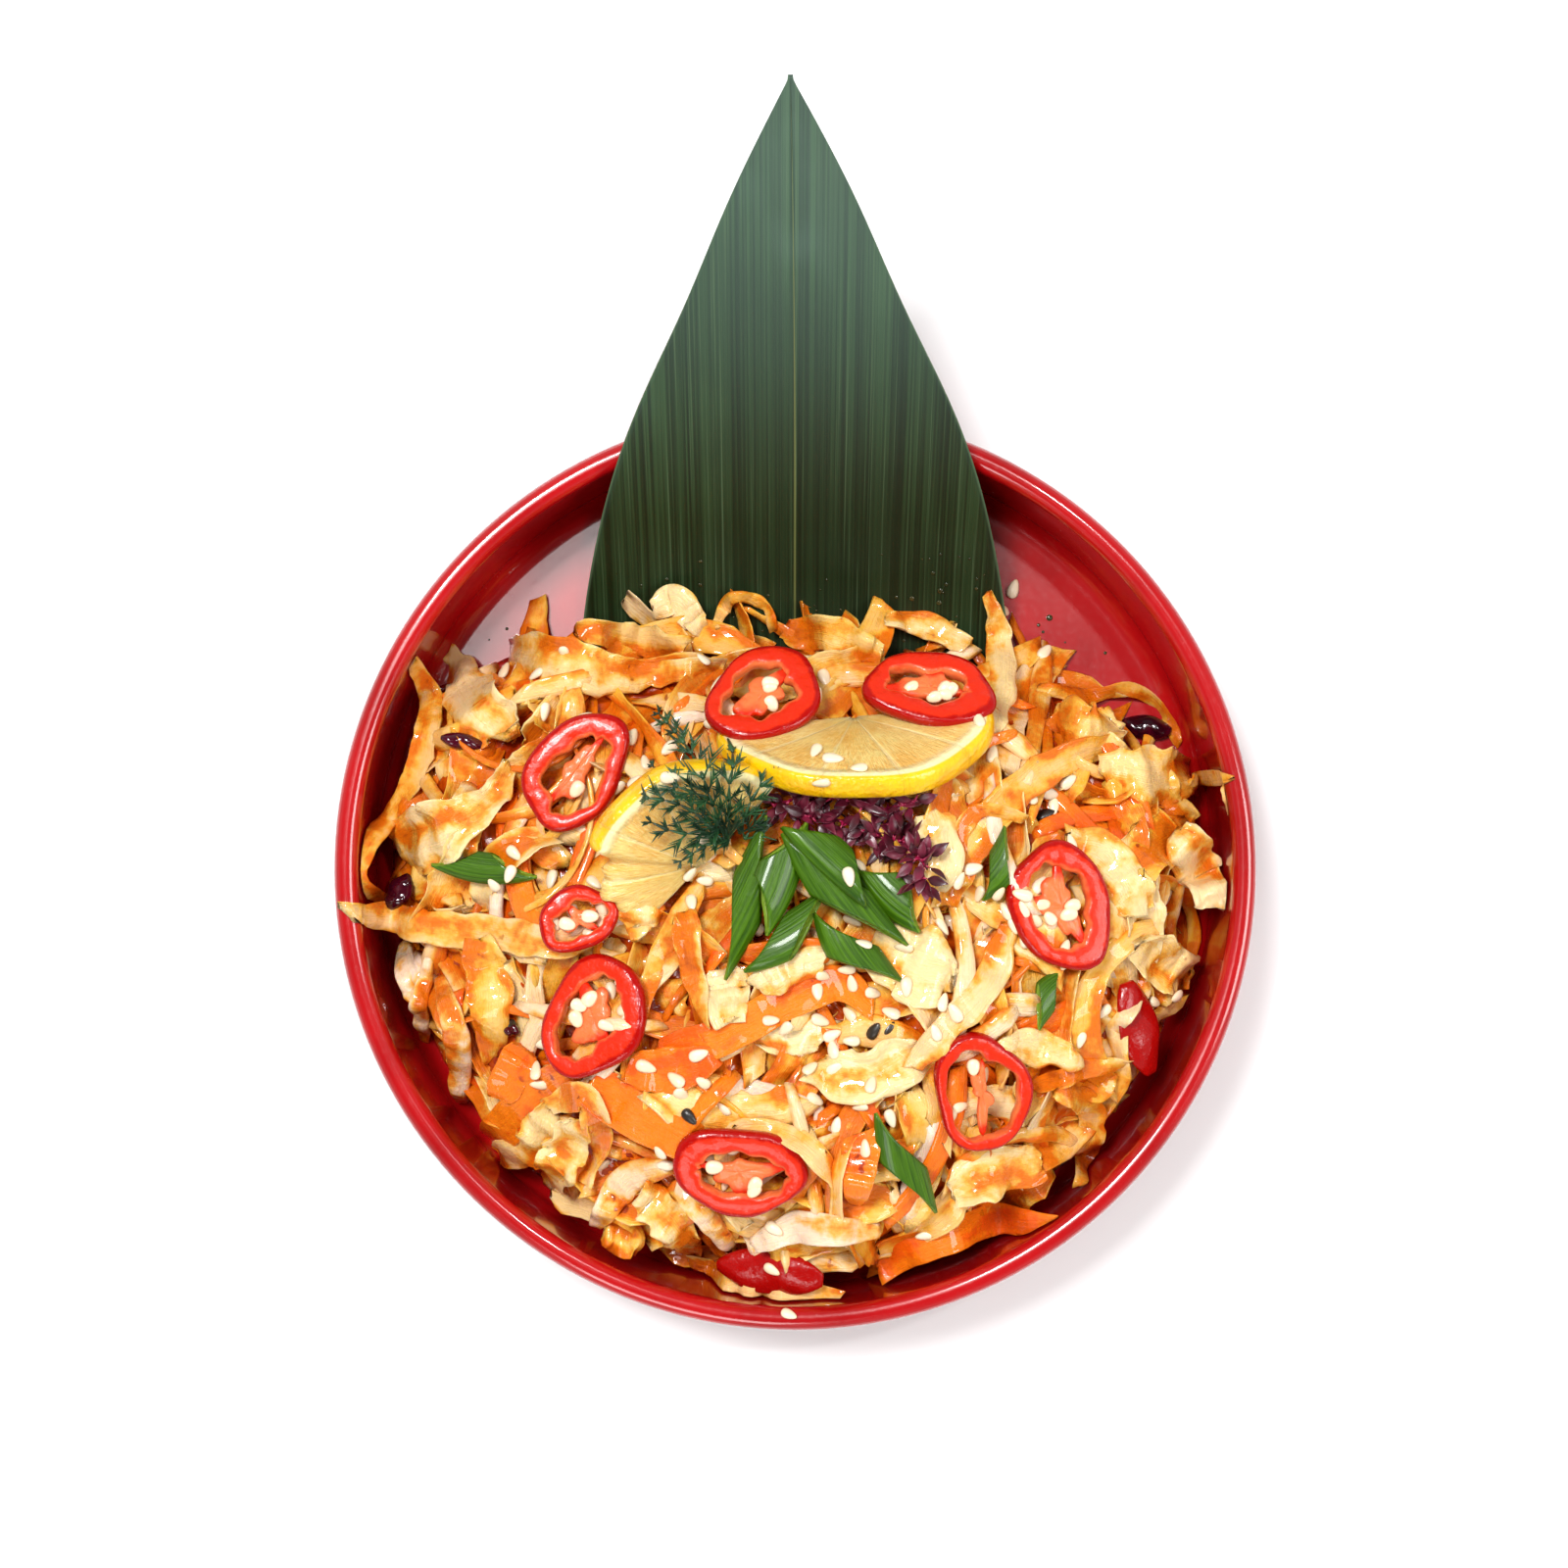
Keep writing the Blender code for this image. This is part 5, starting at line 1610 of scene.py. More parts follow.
@dataclass
class ChilliPieces:
    """Pieces of chilli skin that lie half buried, curved across like the pod."""

    # column, row, length, width, heading
    pieces: tuple = ((786, 1294, 19.0, 8.6, -6), (1160, 1048, 17.5, 8.5, -68))
    # small dark glossy patches of the same shape, laid last: column, row, length, width, heading
    dark_patches: tuple = (
        (474, 757, 7.5, 3.0, -10), (407, 910, 7.0, 5.0, 60),
        (1183, 740, 9.0, 4.6, -10), (519, 1052, 3.2, 2.4, 0),
    )

    def build(self, pile: Pile) -> None:
        """Makes each piece: a lens in plan, arched across by 1 - a^2; four small dark glossy patches of the
        same shape come last.

        Args:
            pile: what they lie on.
        """
        # a darker copy of the chilli finish: painted shade for the skin pieces that lie under the strips
        material = ChilliFlesh(skin=srgb(160, 8, 6), flesh=srgb(196, 22, 6), core=srgb(214, 64, 14)).build()
        cutter = Cutter(22, 16)
        share = cutter.share[:, None]
        dark_patches = []
        a, b = cutter.across, cutter.upward
        marks = {"inward": np.where(b > -0.3, 0.1, 0.8)}
        for number, (*spot, length, width, heading) in enumerate(self.pieces + self.dark_patches, 1):
            half = width / 2 * (1.0 - 0.72 * np.abs(2 * share - 1) ** 2.4)
            height = 0.5 * b + 1.1 * (1 - a * a) * (half / half.max()) + 0.3 * np.sin(11 * share + 2 * a)
            grid = together((share - 0.5) * length, a * half, height)
            grid = settled(grid, heading, spot, width / 2, pile, 1.5)
            shape = tubes(grid[None], marks)
            if number > len(self.pieces):
                dark_patches.append(shape)
                continue
            add_piece(f"chilli_skin_{number}", shape, material, "chilli_red", f"chilli_piece_{number}")
            pile.raise_to(grid[:, cutter.upper])
        dark_patch = Liquid("dark_patch", srgb(74, 6, 26), srgb(34, 2, 12))
        add_piece("dark_patch_piece", Shape.joined(dark_patches), dark_patch.build())


@dataclass(frozen=True)
class LemonHalf:
    """One half of the slit slice: where the middle of its cut side lies, and how it stands."""

    column: float
    row: float
    length: float
    depth: float
    bearing: float
    tilt: float
    peeled: float


@dataclass
class LemonTwist:
    """A slit lemon slice: two halves tipped up on their cut sides, peel high."""

    halves: tuple = (
        LemonHalf(872, 742, 23.5, 18.0, -85, 50, 1.0),
        LemonHalf(712, 880, 18.5, 19.5, 138, 30, 0.66),
    )
    thickness: float = 4.6
    sink: float = 1.0

    def build(self, pile: Pile) -> None:
        """Makes each half: rows from the middle out to the peel, over the top and back beneath.

        Args:
            pile: what they lie on.
        """
        material = Citrus().build()
        over_peel = [0.965, 0.985, 0.997, 1.0, 0.997, 0.985, 0.965]
        down_peel = [0.48, 0.38, 0.2, 0.0, -0.2, -0.38, -0.48]
        out = np.concatenate([np.linspace(0.03, 0.94, 16), over_peel, np.linspace(0.94, 0.03, 6)])
        level = np.concatenate([np.full(16, 0.5), down_peel, np.full(6, -0.5)])
        turn = np.linspace(0.0, math.pi, 72)
        for number, half in enumerate(self.halves, 1):
            x, y = from_view(half.column, half.row)
            bare = smooth_step(half.peeled, half.peeled + 0.06, turn / math.pi)[:, None]
            ragged = 0.025 * np.sin(23 * turn) + 0.015 * np.sin(41 * turn + 1) + 0.05 * np.sin(9 * turn)
            swell = (1.0 + 0.015 * np.sin(7 * turn))[:, None] - bare * (0.16 + ragged[:, None])
            shape = np.stack([half.depth * np.sin(turn), -half.length * np.cos(turn)], 1)
            plan = shape[:, None] * (out * swell)[..., None]
            sag = 1.2 * np.sin(2 * turn)[:, None] * out**2 + 0.9 * (out**2) * np.sin(turn)[:, None]
            bulge = 0.12 * np.abs(np.sin(5 * turn))[:, None] * (out < 0.85) * (level > 0)
            height = level * self.thickness * (1.0 - 0.45 * bare) + sag + bulge - 2.0 * bare * out**3
            grid = turned(turned(over(plan, height), -half.tilt, 1), half.bearing, 2)
            lift = pile.at(grid[..., :2] + (x, y)) - grid[..., 2]
            grid = grid + (x, y, float(np.percentile(lift, TOUCHING_PERCENT)) - self.sink)
            marks = {"reach": (out * (1.0 - 0.22 * bare))[:, ::-1], "turn": turn[:, None]}
            shape = tubes(grid[None, :, ::-1], marks)
            add_piece(f"lemon_slice_{number}", shape, material, "lemon_yellow", f"lemon_half_{number}")
            pile.raise_to(grid[:, :20])


@dataclass
class OnionSlices:
    """Spring onion cut on the slant: flattened tubes whose ends are cut at an angle."""

    # number, column, row, heading, length, width, whether both points are on one side
    slices: tuple = (
        (5, 868, 972, -56, 18.0, 8.4, False),
        (4, 808, 958, 33, 19.0, 7.6, False),
        (1, 764, 916, 65, 28.0, 7.8, False),
        (2, 790, 893, 70, 20.0, 7.6, True),
        (6, 912, 911, -43, 16.0, 7.6, True),
        (3, 854, 912, -54, 27.5, 8.6, False),
        (7, 846, 878, -48, 19.0, 7.0, True),
        (8, 496, 884, -6, 19.0, 5.6, True),
        (9, 1022, 886, 56, 12.5, 6.0, False),
        (10, 1065, 1018, 48, 10.0, 5.6, False),
        (11, 917, 1184, -70, 21.5, 7.8, False),
    )
    wall: float = 0.7
    flatness: float = 0.55
    seed: int = 4

    def build(self, pile: Pile) -> None:
        """Makes each slice and lays it down.

        Args:
            pile: what they lie on.
        """
        material = OnionLeaf().build()
        chance = np.random.default_rng(self.seed)
        for number, *spot, heading, length, width, same in self.slices:
            grid, marks = self.tube(length, width, same, chance)
            grid = settled(grid, heading, spot, length * 0.3, pile, 0.8)
            shape = looped(grid, marks)
            add_piece(f"onion_cut_{number}", shape, material, "onion_green", f"onion_slice_{number}")
            pile.raise_to(grid[: grid.shape[0] // 2 + 1, : grid.shape[1] // 2])

    def tube(self, length: float, width: float, same: bool, chance: Chance) -> tuple:
        """A flattened tube, its wall a thin loop from the outer skin to the inner one.

        Round the tube at angle v the skin is at (w/2 cos v, h/2 sin v), and runs between ends that
        slide along its length by (1 +- cos v)/2 of the slant, so each end is a long point.

        Args:
            length: from point to point.
            width: across.
            same: whether both points are on one side.
            chance: random draws.

        Returns:
            (n, m, 3) points that close both ways, and their marks.
        """
        v = circle(28)
        steps = 14
        share = np.concatenate([np.linspace(0, 1, steps), np.linspace(1, 0, steps)])
        inner = np.repeat([0.0, 1.0], steps)
        slant = (0.44 if same else 0.6) * length
        low = -length / 2 + slant * (1 + np.cos(v)) / 2
        high = length / 2 - slant * (1 + (np.cos(v) if same else -np.cos(v))) / 2
        along = low[:, None] + (high - low)[:, None] * share
        taper = 1.0 - 0.25 * (2 * along / length) ** 2
        thin = 1.0 - inner * 2 * self.wall / width
        across = width / 2 * np.cos(v)[:, None] * thin * taper
        low_thin = 1.0 - inner * 2 * self.wall / (width * self.flatness)
        rise = width / 2 * self.flatness * np.sin(v)[:, None] * low_thin
        bow = chance.uniform(-1.4, 1.4) * (2 * along / length) ** 2
        grid = np.stack([along, across + bow, rise * taper + width / 2 * self.flatness], axis=-1)
        marks = {
            "inside": inner,
            "around": np.abs(np.sin(v / 2))[:, None],
            "along": along / 20.0,
            "tint": chance.uniform(0, 1),
        }
        return grid, marks


@dataclass
class DillSprig:
    """Feathery dill: fronds with side sprays of needles, draped over what they lie on."""

    # each frond: view places from its root to its tip, and the length of its sprays
    fronds: tuple = (
        (((742, 862), (727, 815), (715, 782), (694, 752), (672, 728)), 6.2),
        (((742, 862), (715, 832), (690, 818), (650, 812)), 5.2),
        (((748, 850), (722, 862), (705, 872), (696, 878)), 4.0),
        (((745, 850), (745, 805), (750, 775), (742, 752)), 4.6),
        (((755, 850), (765, 820), (778, 800), (790, 792)), 4.6),
        (((738, 840), (700, 850), (668, 838)), 4.6),
        (((727, 815), (690, 800), (668, 782)), 4.0),
        (((760, 856), (772, 838), (786, 832)), 3.6),
    )
    spacing: float = 2.1
    needle: float = 4.9
    girths: tuple = (0.38, 0.21, 0.18)
    forks: tuple = (0.35, 0.6, 0.8)
    tautness: int = 6
    seed: int = 23

    def build(self, pile: Pile) -> None:
        """Collects the stems, sprays and needles as rods, and makes them as one piece.

        Args:
            pile: what it lies on.
        """
        chance = np.random.default_rng(self.seed)
        stem_girth, spray_girth, needle_girth = self.girths
        parts = []
        for path, spray in self.fronds:
            stem = self.stem(plan_of(path), pile)
            count = len(stem)
            parts.append((stem[:-1], stem[1:], stem_girth))
            ahead = unit(np.gradient(stem, axis=0))
            for side in (-1.0, 1.0):
                size = spray * (1.05 - 0.75 * np.linspace(0, 1, count)) * chance.uniform(0.75, 1.15, count)
                sideways = side * chance.uniform(0.55, 0.85, count)
                away = self.swung(ahead, sideways, chance.uniform(-0.1, 0.5, count))
                parts.append((stem, stem + away * size[:, None], spray_girth))
                for share, lean in itertools.product(self.forks, (-1.0, 1.0)):
                    root = stem + away * size[:, None] * share
                    sideways = lean * chance.uniform(0.35, 0.6, count)
                    out = self.swung(away, sideways, chance.uniform(-0.1, 0.6, count))
                    long = self.needle * chance.uniform(0.5, 1.0, count) * (size / 5.0)
                    parts.append((root, root + out * long[:, None], needle_girth))
        start, end = (np.concatenate([part[side] for part in parts]) for side in (0, 1))
        for points in (start, end):
            points[:, 2] = np.maximum(points[:, 2], pile.soft_top(points[:, :2]) + 0.3)
        girth = np.concatenate([np.full(len(part[0]), part[2]) for part in parts])
        herb = Herb("dill_needles", srgb(16, 48, 26), srgb(44, 92, 48), srgb(66, 108, 56))
        add_piece("dill_fronds", rods(start, end, girth), herb.build(), "dill_green", "dill_sprig")

    def stem(self, plan: Array, pile: Pile) -> Array:
        """A stem along a path in plan, drawn taut over the pile and arched above it.

        Args:
            plan: (k, 2) control points.
            pile: what it lies on.

        Returns:
            (n, 3) points.
        """
        reach = np.linalg.norm(np.diff(plan, axis=0), axis=1).sum()
        line = along_curve(plan, max(5, int(reach / self.spacing)))
        level = pile.soft_top(line)
        for _ in range(self.tautness):
            level[1:-1] = np.maximum(level[1:-1], (level[:-2] + level[2:]) / 2)
        return np.column_stack([line, level + 1.0 + 1.2 * np.sin(np.linspace(0, 2.6, len(line)))])

    @staticmethod
    def swung(ahead: Array, turn: Array, rise: Array) -> Array:
        """Directions swung sideways and lifted.

        Args:
            ahead: (k, 3) directions.
            turn: (k,) angles, in radians.
            rise: (k,) lifts.

        Returns:
            (k, 3) directions.
        """
        cos, sin = np.cos(turn), np.sin(turn)
        x, y, z = ahead.T
        return unit(np.column_stack([x * cos - y * sin, x * sin + y * cos, z + rise]))


def rods(start: Array, end: Array, girth: Array, stem: float = 0.0) -> Shape:
    """Tapered rods that bow a little: rings of radius r (1 - 0.8 s^2) on the way from start to end.

    Args:
        start: (k, 3) thick ends.
        end: (k, 3) thin ends.
        girth: (k,) radii at the thick end.
        stem: value of the mark stem.

    Returns:
        All the rods, with the mark stem.
    """
    span = end - start
    ahead = unit(span)
    side = unit(np.cross(ahead, (0.03, 0.02, 1.0)))
    up = np.cross(side, ahead)
    share = np.linspace(0.0, 1.0, 4)
    turn = circle(5)
    bow = 0.06 * np.linalg.norm(span, axis=1)[:, None] * np.sin(math.pi * share)
    middle = start[:, None] + span[:, None] * share[None, :, None] + up[:, None] * bow[..., None]
    radius = girth[:, None] * (1.0 - 0.8 * share**2)
    rings = middle[:, :, None] + radius[..., None, None] * spanned((side, up), (np.cos(turn), -np.sin(turn)))
    return tubes(rings, {"stem": stem})


@dataclass
class PurpleGreens:
    """Purple microgreens: pairs of small folded leaves on thin bright stems."""

    # view places that the drift follows
    drifts: tuple = (
        ((790, 822), (825, 812), (860, 816), (895, 826), (932, 818)),
        ((810, 832), (850, 836), (885, 848), (910, 858), (930, 856)),
        ((900, 842), (925, 862), (940, 880), (938, 900)),
    )
    leaves: int = 28
    # length and width of a leaf, each with the most that chance makes of it
    leaf: tuple = ((3.8, 1.15), (1.9, 1.1))
    seed: int = 31

    def build(self, pile: Pile) -> None:
        """Makes the stems and leaves as one piece.

        A leaf is a grid (u along, v across) whose half width is sin(pi u^0.8), folded up along its
        middle by |v| and bent down by u^2.

        Args:
            pile: what they lie on.
        """
        chance = np.random.default_rng(self.seed)
        starts, ends, leaves = [], [], []
        count = self.leaves
        u, v = np.linspace(0.0, 1.0, 7), circle(10)
        half = np.sin(math.pi * np.clip(u, 0.02, 0.98) ** 0.85)[:, None] * np.cos(v)
        fold = 0.35 * np.abs(np.cos(v)) * np.sin(math.pi * u)[:, None]
        fold = fold - 0.5 * (u**2)[:, None] + 0.07 * np.sin(v)
        for path in self.drifts:
            line = along_curve(plan_of(path), count)
            line = np.column_stack([line, pile.soft_top(line) + 0.9 + chance.uniform(0, 1.2, count)])
            starts.append(line[:-1])
            ends.append(line[1:])
            for _ in range(2):
                heading = chance.uniform(0, TAU, count)
                ahead = unit(np.column_stack([compass(heading), chance.uniform(0.0, 0.8, count)]))
                root = line + ahead * chance.uniform(0.3, 1.8, (count, 1))
                starts.append(line)
                ends.append(root)
                side = unit(np.cross(ahead, unit(chance.normal(size=(count, 3)) * 0.5 + (0, 0, 1))))
                long, wide = (size * chance.uniform(0.7, most, (count, 1, 1)) for size, most in self.leaf)
                parts = (long * u[:, None], wide / 2 * half, wide * 0.6 * fold)
                leaves.append(spanned((ahead, side, np.cross(side, ahead)), parts, root[:, None, None]))
        stems = rods(np.concatenate(starts), np.concatenate(ends), np.full(sum(map(len, starts)), 0.28), 1.0)
        shape = Shape.joined([stems, tubes(np.concatenate(leaves), {"stem": 0.0})])
        herb = Herb("purple_leaf", srgb(58, 6, 20), srgb(120, 28, 54), srgb(160, 16, 66), 0.32)
        add_piece("purple_sprouts", shape, herb.build(), "greens_purple", "purple_greens")


@dataclass
class Sesame:
    """White and black sesame, scattered in the drifts in which it fell."""

    # column, row, spread in pixels, seeds
    drifts: tuple = (
        (850, 1045, 34, 24), (860, 1140, 24, 10), (590, 935, 26, 12), (620, 1025, 26, 9), (525, 885, 18, 5),
        (1010, 915, 26, 10), (1050, 930, 30, 12), (1080, 960, 30, 4), (850, 765, 30, 8), (650, 770, 40, 7),
        (540, 700, 36, 3), (1075, 820, 40, 5), (700, 1100, 60, 7), (540, 1095, 16, 4), (760, 1200, 50, 4),
        (960, 1080, 40, 5), (950, 1000, 40, 5), (760, 730, 60, 5), (960, 730, 50, 5), (880, 940, 60, 5),
        (1040, 650, 40, 2), (1120, 1000, 50, 5), (900, 1220, 70, 4), (700, 890, 50, 4), (640, 1150, 60, 3),
    )
    singles: tuple = (
        (1031, 617), (805, 1330), (510, 682), (558, 727), (734, 699), (774, 948), (865, 893), (1194, 917)
    )
    black: tuple = ((892, 1053), (909, 1051), (704, 1138), (1070, 831), (520, 1050), (1100, 888))
    size: tuple = (3.3, 1.95, 1.0)
    apart: float = 13.0
    seed: int = 12

    def build(self, pile: Pile) -> None:
        """Makes the white seeds and the black ones.

        Args:
            pile: what they lie on.
        """
        chance = np.random.default_rng(self.seed)
        drifts = [spot + chance.normal(scale=spread * 0.75, size=(n, 2)) for *spot, spread, n in self.drifts]
        spots = np.concatenate([self.singles, *drifts])
        # each seed keeps clear of those before it, so the others count as far off
        later = np.triu(np.full((len(spots), len(spots)), 99.0))
        nearest = (np.linalg.norm(spots[:, None] - spots, axis=2) + later).min(axis=1)
        for name, places, colour, tip in (
            ("sesame_white", spots[nearest > self.apart], srgb(246, 230, 200), srgb(226, 188, 128)),
            ("sesame_black", self.black, srgb(30, 24, 20), srgb(84, 66, 44)),
        ):
            plan = plan_of(places)
            normals, levels = pile.tilts(plan, 1.4)
            middles = over(plan, np.maximum(levels, pile.at(plan) - 0.2) + 0.5)
            lean = unit(normals + (0, 0, 0.4))
            shape = kernels(middles, chance.uniform(0, TAU, len(plan)), lean, self.size, 0.34, chance)
            add_piece(name, shape, Kernel(name, colour, tip).build())


# --- dish, leaf, sauce ---


@dataclass
class Bowl:
    """The dish: its section carried round the axis in fine steps."""

    steps: int = 180
    foot_radius: float = 47.0
    foot_height: float = 3.0
    outer_curve: float = 11.0
    inner_curve: float = 3.5
    rim_round: float = 1.9

    def section(self) -> Array:
        """The outline of half the bowl, from the floor's middle over the rim to the foot's middle.

        Returns:
            (n, 2) points, each (radius, height).
        """

        def arc(r: float, z: float, radius: float, start: float, end: float, count: int) -> Array:
            """Points on a circle about (r, z), from one bearing to another."""
            return (r, z) + radius * compass(np.radians(np.linspace(start, end, count)))

        inner, foot, high = RIM_RADIUS - WALL, self.foot_radius, self.foot_height
        curve, lip = FLOOR_TOP + self.inner_curve, RIM_HEIGHT - self.rim_round
        return np.concatenate([
            together(np.linspace(0.5, inner - self.inner_curve - 0.5, 10), FLOOR_TOP),
            arc(inner - self.inner_curve, curve, self.inner_curve, -90, 0, 8),
            together(inner, np.linspace(curve + 1, lip - 1, 4)),
            arc(inner + self.rim_round, lip, self.rim_round, 180, 90, 8),
            arc(RIM_RADIUS - self.rim_round, lip, self.rim_round, 90, 0, 8),
            arc(RIM_RADIUS - 1.2 - self.outer_curve, high + self.outer_curve, self.outer_curve, 0, -90, 12),
            [(foot + 0.8, high), (foot, high - 0.8), (foot - 0.4, 0.05)],
            together(np.linspace(foot - 0.8, 0.5, 6), 0.0),
        ])

    def build(self) -> None:
        """Carries the section round and closes both middles."""
        section = self.section()[::-1]
        rings = over(section[:, :1, None] * compass(circle(self.steps)), section[:, 1:])
        add_piece("bowl_body", tubes(rings[None]), Lacquer().build(), "red_lacquer", "bowl")


@dataclass
class PointedLeaf:
    """The leaf: a thin blade on its midline, with a trough, a crease and faint waves."""

    rows: int = 150
    across: int = 60

    def build(self) -> None:
        """Makes the blade as a flat loop carried along the midline.

        A point at share a across lies at x = a w(y), lifted by the trough, with a crease
        at a = 0 and a slow wave along both edges; the loop's second half is the underside.
        """
        midline = leaf_midline(self.rows)
        half = leaf_half_width(midline[-1, 0] - midline[:, 0])
        half[-1] = 0.4
        a = np.concatenate([np.linspace(-1, 1, self.across), np.linspace(1, -1, self.across)])
        top = np.repeat([0.0, 1.0], self.across)
        share = np.linspace(0, 1, self.rows)[:, None]
        x = half[:, None] * a - 0.95 * share**3
        y = midline[:, :1]
        crease = -0.25 * np.exp(-((a / 0.03) ** 2)) * np.minimum(1.0, half[:, None] / 8.0)
        wave = 0.22 * np.sin(13 * share + 1.5 * np.sign(a)) * np.abs(a) ** 3
        wave *= np.minimum(1.0, half[:, None] / 12.0)
        z = midline[:, 1:] + leaf_rise(x, y) + crease + wave + 0.05 + top * (LEAF_THICKNESS - 0.1)
        shape = tubes(together(x, y, z)[None], {"across": a, "along": share})
        add_piece("leaf_blade", shape, LeafBlade().build(), "leaf_green", "leaf")


@dataclass
class Dressing:
    """The dressing that has run out round the heap, and drops of it on the leaf and the floor."""

    spread: float = 2.6
    film: float = 0.45
    leaf_drops: int = 70
    floor_drops: int = 24
    floor_reach: float = 70.0
    seed: int = 41

    def build(self, pile: Pile) -> None:
        """Makes the pool and the drops.

        The pool is a disc just past the heap's edge, a film high in the middle and 0 at its edge.
        A drop is a low dome on the surface under it.

        Args:
            pile: what they lie on.
        """
        chance = np.random.default_rng(self.seed)
        turn = circle(240)
        ring = compass(turn)
        lobes = 0.4 + 0.6 * ripple(ring * 70.0, 34.0, 6) + 0.4 * ripple(ring * 70.0, 9.0, 7)
        reach = heap_reach(turn) + self.spread * lobes
        away = np.hypot(*(HEAP_MIDDLE + ring * reach[:, None]).T)
        reach = reach * np.minimum(1.0, (RIM_RADIUS - WALL - 2.2) / away)
        share = np.array([0.3, 0.8, 0.9, 0.96, 0.985, 1.0, 1.0, 0.9, 0.3])
        level = np.array([1, 1, 1, 0.9, 0.6, 0.15, -0.05, -0.1, -0.1]) * self.film
        plan = HEAP_MIDDLE + share[:, None, None] * (ring * reach[:, None])[None]
        rings = over(plan, FLOOR_TOP + 0.05 + level[:, None])[::-1]
        pool = Liquid("sauce", srgb(168, 24, 8), srgb(110, 8, 4))
        add_piece("dressing_pool", tubes(rings[None]), pool.build())
        self.build_drops(pile, chance)

    def build_drops(self, pile: Pile, chance: Chance) -> None:
        """Small clear drops on the leaf beside the heap and on the bowl's bare floor.

        Args:
            pile: what they lie on.
            chance: random draws.
        """
        x = chance.uniform(-34, 34, self.leaf_drops)
        on_leaf = np.column_stack([x, 40 + 16 * chance.uniform(0, 1, self.leaf_drops) ** 1.8])
        x = chance.uniform(42, 60, self.floor_drops)
        on_floor = np.column_stack([x, 36 + 12 * chance.uniform(0, 1, self.floor_drops)])
        on_floor[::2, 0] *= -1
        on_floor = on_floor[np.hypot(*on_floor.T) < self.floor_reach]
        places = np.concatenate([on_leaf, on_floor])
        normals, levels = pile.tilts(places, 1.0)
        size = 0.18 + 0.5 * chance.uniform(0, 1, len(places)) ** 3
        lean = np.linspace(math.pi / 2, 0.2, 5)[:, None]
        turn = circle(10)
        side = unit(np.cross(normals, (0.0, 1.0, 0.1)))
        parts = (np.sin(lean) * np.cos(turn), np.sin(lean) * np.sin(turn), 0.55 * np.cos(lean))
        dome = spanned((side, np.cross(normals, side), normals), parts)
        rings = over(places, levels)[:, None, None] + size[:, None, None, None] * dome
        add_piece("oil_drops", tubes(rings), Liquid("oil", srgb(64, 62, 34), srgb(40, 44, 22)).build())


# --- studio ---


def facing(place: tuple, aim: tuple) -> tuple[float, float, float]:
    """Euler angles that turn a lamp's -Z from its place towards an aim."""
    x, y, z = np.subtract(aim, place)
    return (math.atan2(math.hypot(x, y), -z), 0.0, math.atan2(y, x) - math.pi / 2)


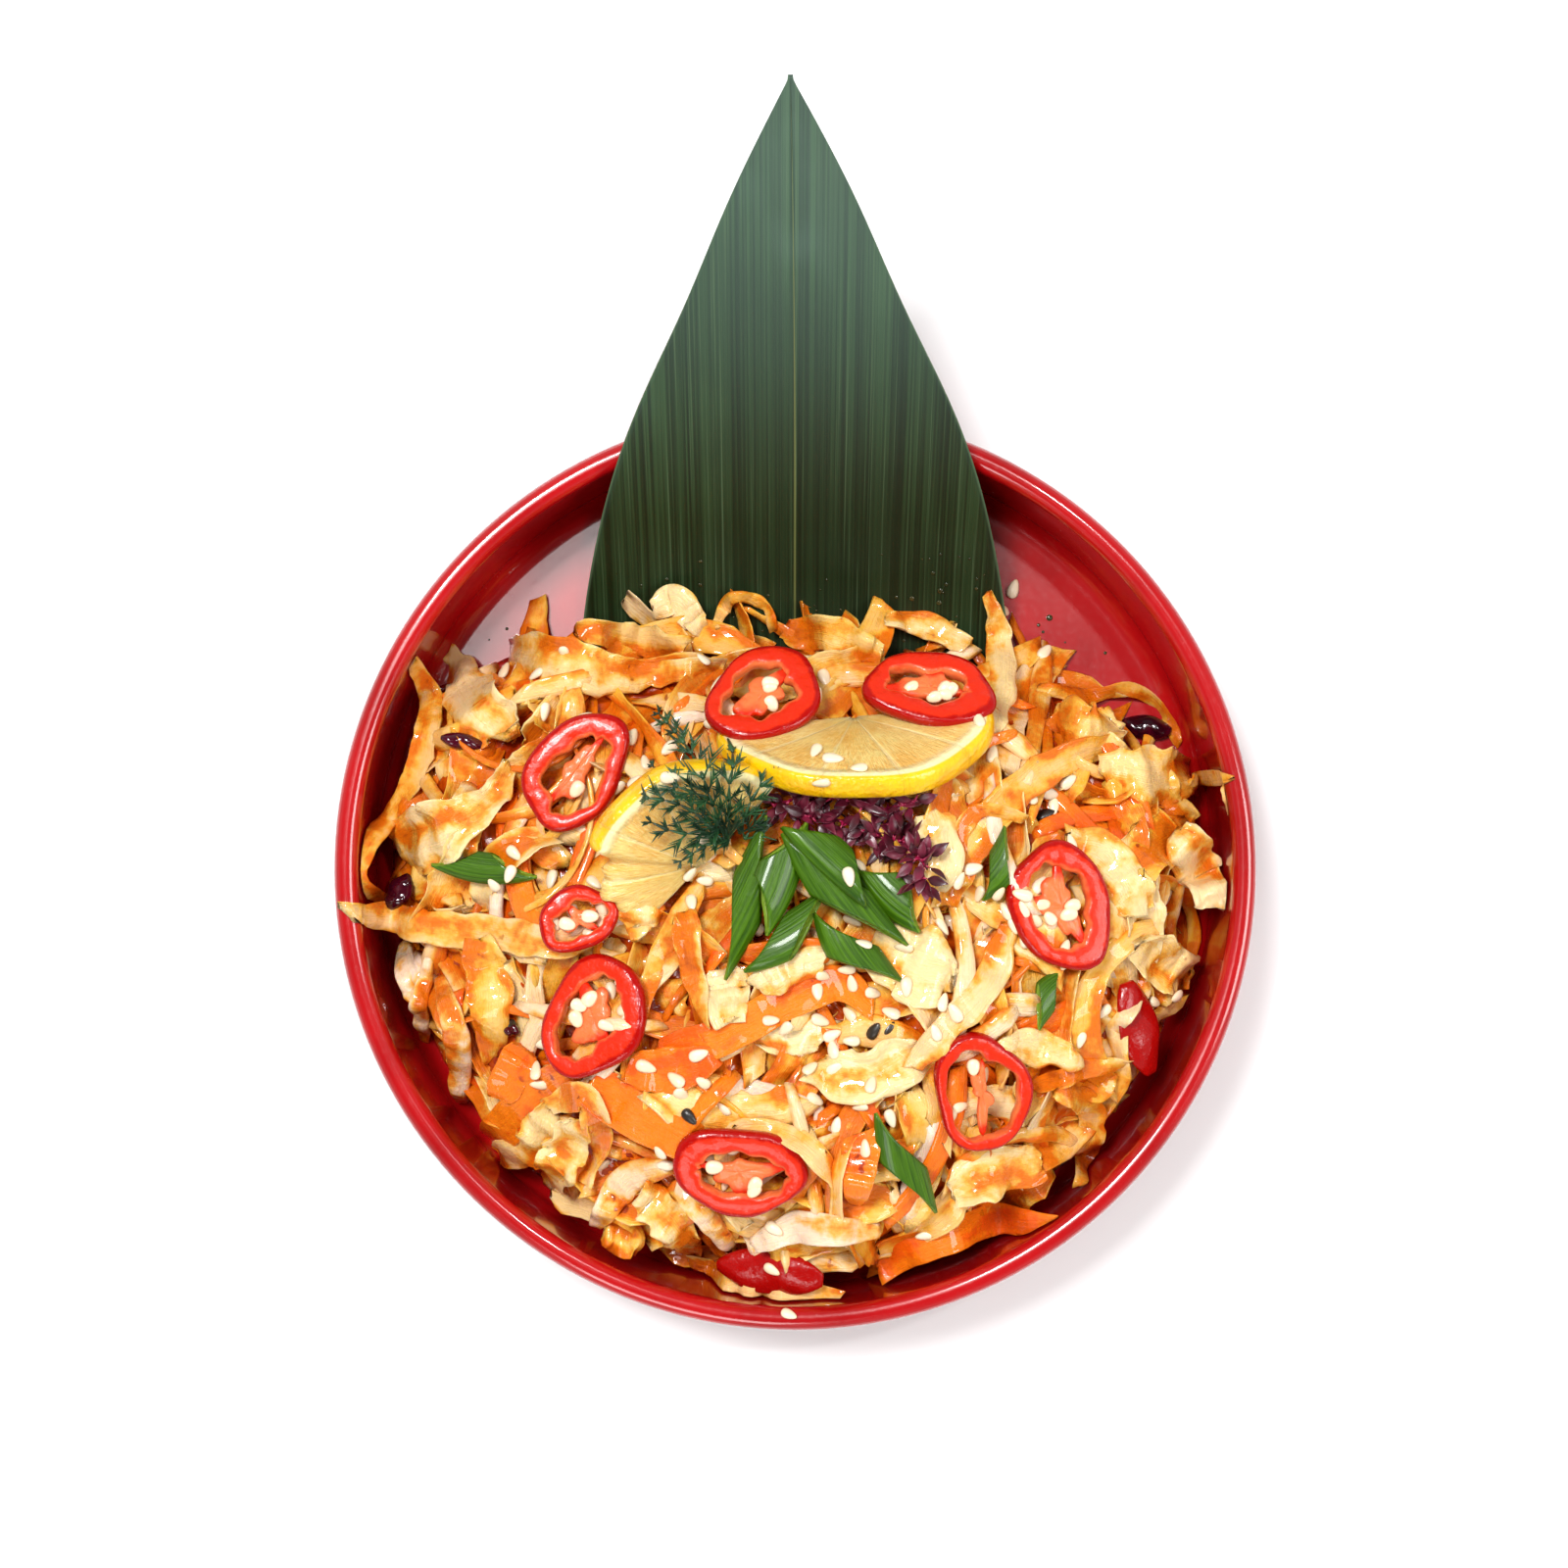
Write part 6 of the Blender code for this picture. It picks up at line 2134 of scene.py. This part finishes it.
@dataclass
class Studio:
    """Pale floor, soft lights and the camera that looks straight down."""

    floor_half: float = 3.0
    floor_colour: tuple = (0.94, 0.94, 0.94)
    world_light: float = 0.5
    overhead: float = 0.06
    sensor: float = 36.0
    # name, place, side of its square and power of each lamp
    lamps: tuple = (
        ("key", (-0.30, 0.34, 1.12), 0.24, 12.0),
        ("fill", (0.8, -0.1, 0.9), 0.45, 5.6),
        ("front", (-0.2, -0.8, 0.9), 0.40, 3.2),
        ("window", (-0.17, 0.13, 1.15), 0.24, 0.85),
        ("glint", (0.25, 0.30, 1.2), 0.05, 2.0),
    )

    @staticmethod
    def light(name: str, place: tuple, size: float, watts: float) -> None:
        """An area light that faces the heap.

        Args:
            name: the light's name.
            place: its middle, in metres.
            size: side of its square.
            watts: its power.
        """
        data = bpy.data.lights.new(name, "AREA")
        data.shape, data.size, data.energy = "SQUARE", size, watts
        lamp = bpy.data.objects.new(name, data)
        lamp.location = place
        lamp.rotation_euler = facing(place, (0.0, 0.0, 0.03))
        bpy.context.scene.collection.objects.link(lamp)

    def floor(self) -> None:
        """The ground that the bowl stands on."""
        half = self.floor_half
        mesh = bpy.data.meshes.new("floor")
        corners = [(-half, -half, 0.0), (half, -half, 0.0), (half, half, 0.0), (-half, half, 0.0)]
        mesh.from_pydata(corners, [], [[0, 1, 2, 3]])
        g = Graph("floor_paper")
        darker = tuple(0.97 * level for level in self.floor_colour)
        mesh.materials.append(g.done(g.mix(g.grain(3.0, 2.0), self.floor_colour, darker), 0.8))
        floor = bpy.data.objects.new("floor", mesh)
        bpy.context.scene.collection.objects.link(floor)

    def world(self) -> bpy.types.World:
        """Soft light from all round, that fades towards the zenith.

        Returns:
            The world.
        """
        world = bpy.data.worlds.new("studio")
        world.use_nodes = True
        tree = world.node_tree
        kinds = ("ShaderNodeTexCoord", "ShaderNodeSeparateXYZ", "ShaderNodeMapRange")
        way, split, fade = map(tree.nodes.new, kinds)
        tree.links.new(way.outputs["Generated"], split.inputs[0])
        tree.links.new(split.outputs["Z"], fade.inputs["Value"])
        ends = {"From Min": 0.35, "From Max": 0.85, "To Min": self.world_light, "To Max": self.overhead}
        for name, value in ends.items():
            fade.inputs[name].default_value = value
        background = tree.nodes["Background"]
        background.inputs["Color"].default_value = (1.0, 1.0, 1.0, 1.0)
        tree.links.new(fade.outputs[0], background.inputs["Strength"])
        return world

    def camera(self) -> bpy.types.Object:
        """The camera over the bowl: its field of view is the view's width at the rim.

        Returns:
            The camera's object.
        """
        lens = bpy.data.cameras.new("camera")
        lens.sensor_width = self.sensor
        lens.lens = self.sensor * VIEW_HEIGHT / (VIEW_PIXELS * VIEW_MM_PER_PIXEL)
        seat = bpy.data.objects.new("camera", lens)
        seat.location = (VIEW_AXIS[0] * MM, VIEW_AXIS[1] * MM, (RIM_HEIGHT + VIEW_HEIGHT) * MM)
        bpy.context.scene.collection.objects.link(seat)
        return seat

    def build(self) -> None:
        """Sets the floor, lights, world and camera."""
        self.floor()
        for lamp in self.lamps:
            self.light(*lamp)
        scene = bpy.context.scene
        scene.world, scene.camera = self.world(), self.camera()
        scene.view_settings.view_transform = "Standard"
        scene.view_settings.look = "None"


def main() -> None:
    """Builds every sub-assembly in order."""
    logging.basicConfig(level=logging.INFO, format="%(message)s")
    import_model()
    Studio().build()
    Bowl().build()
    PointedLeaf().build()
    heap = Heap()
    pile = Pile(heap.sunk, heap.short)
    Dressing().build(pile)
    heap.fill(pile)
    heap.top(pile)
    heap.build(pile)
    for topping in (LemonTwist, ChilliRings, ChilliPieces, OnionSlices, DillSprig, PurpleGreens, Sesame):
        topping().build(pile)


if __name__ == "__main__":
    main()
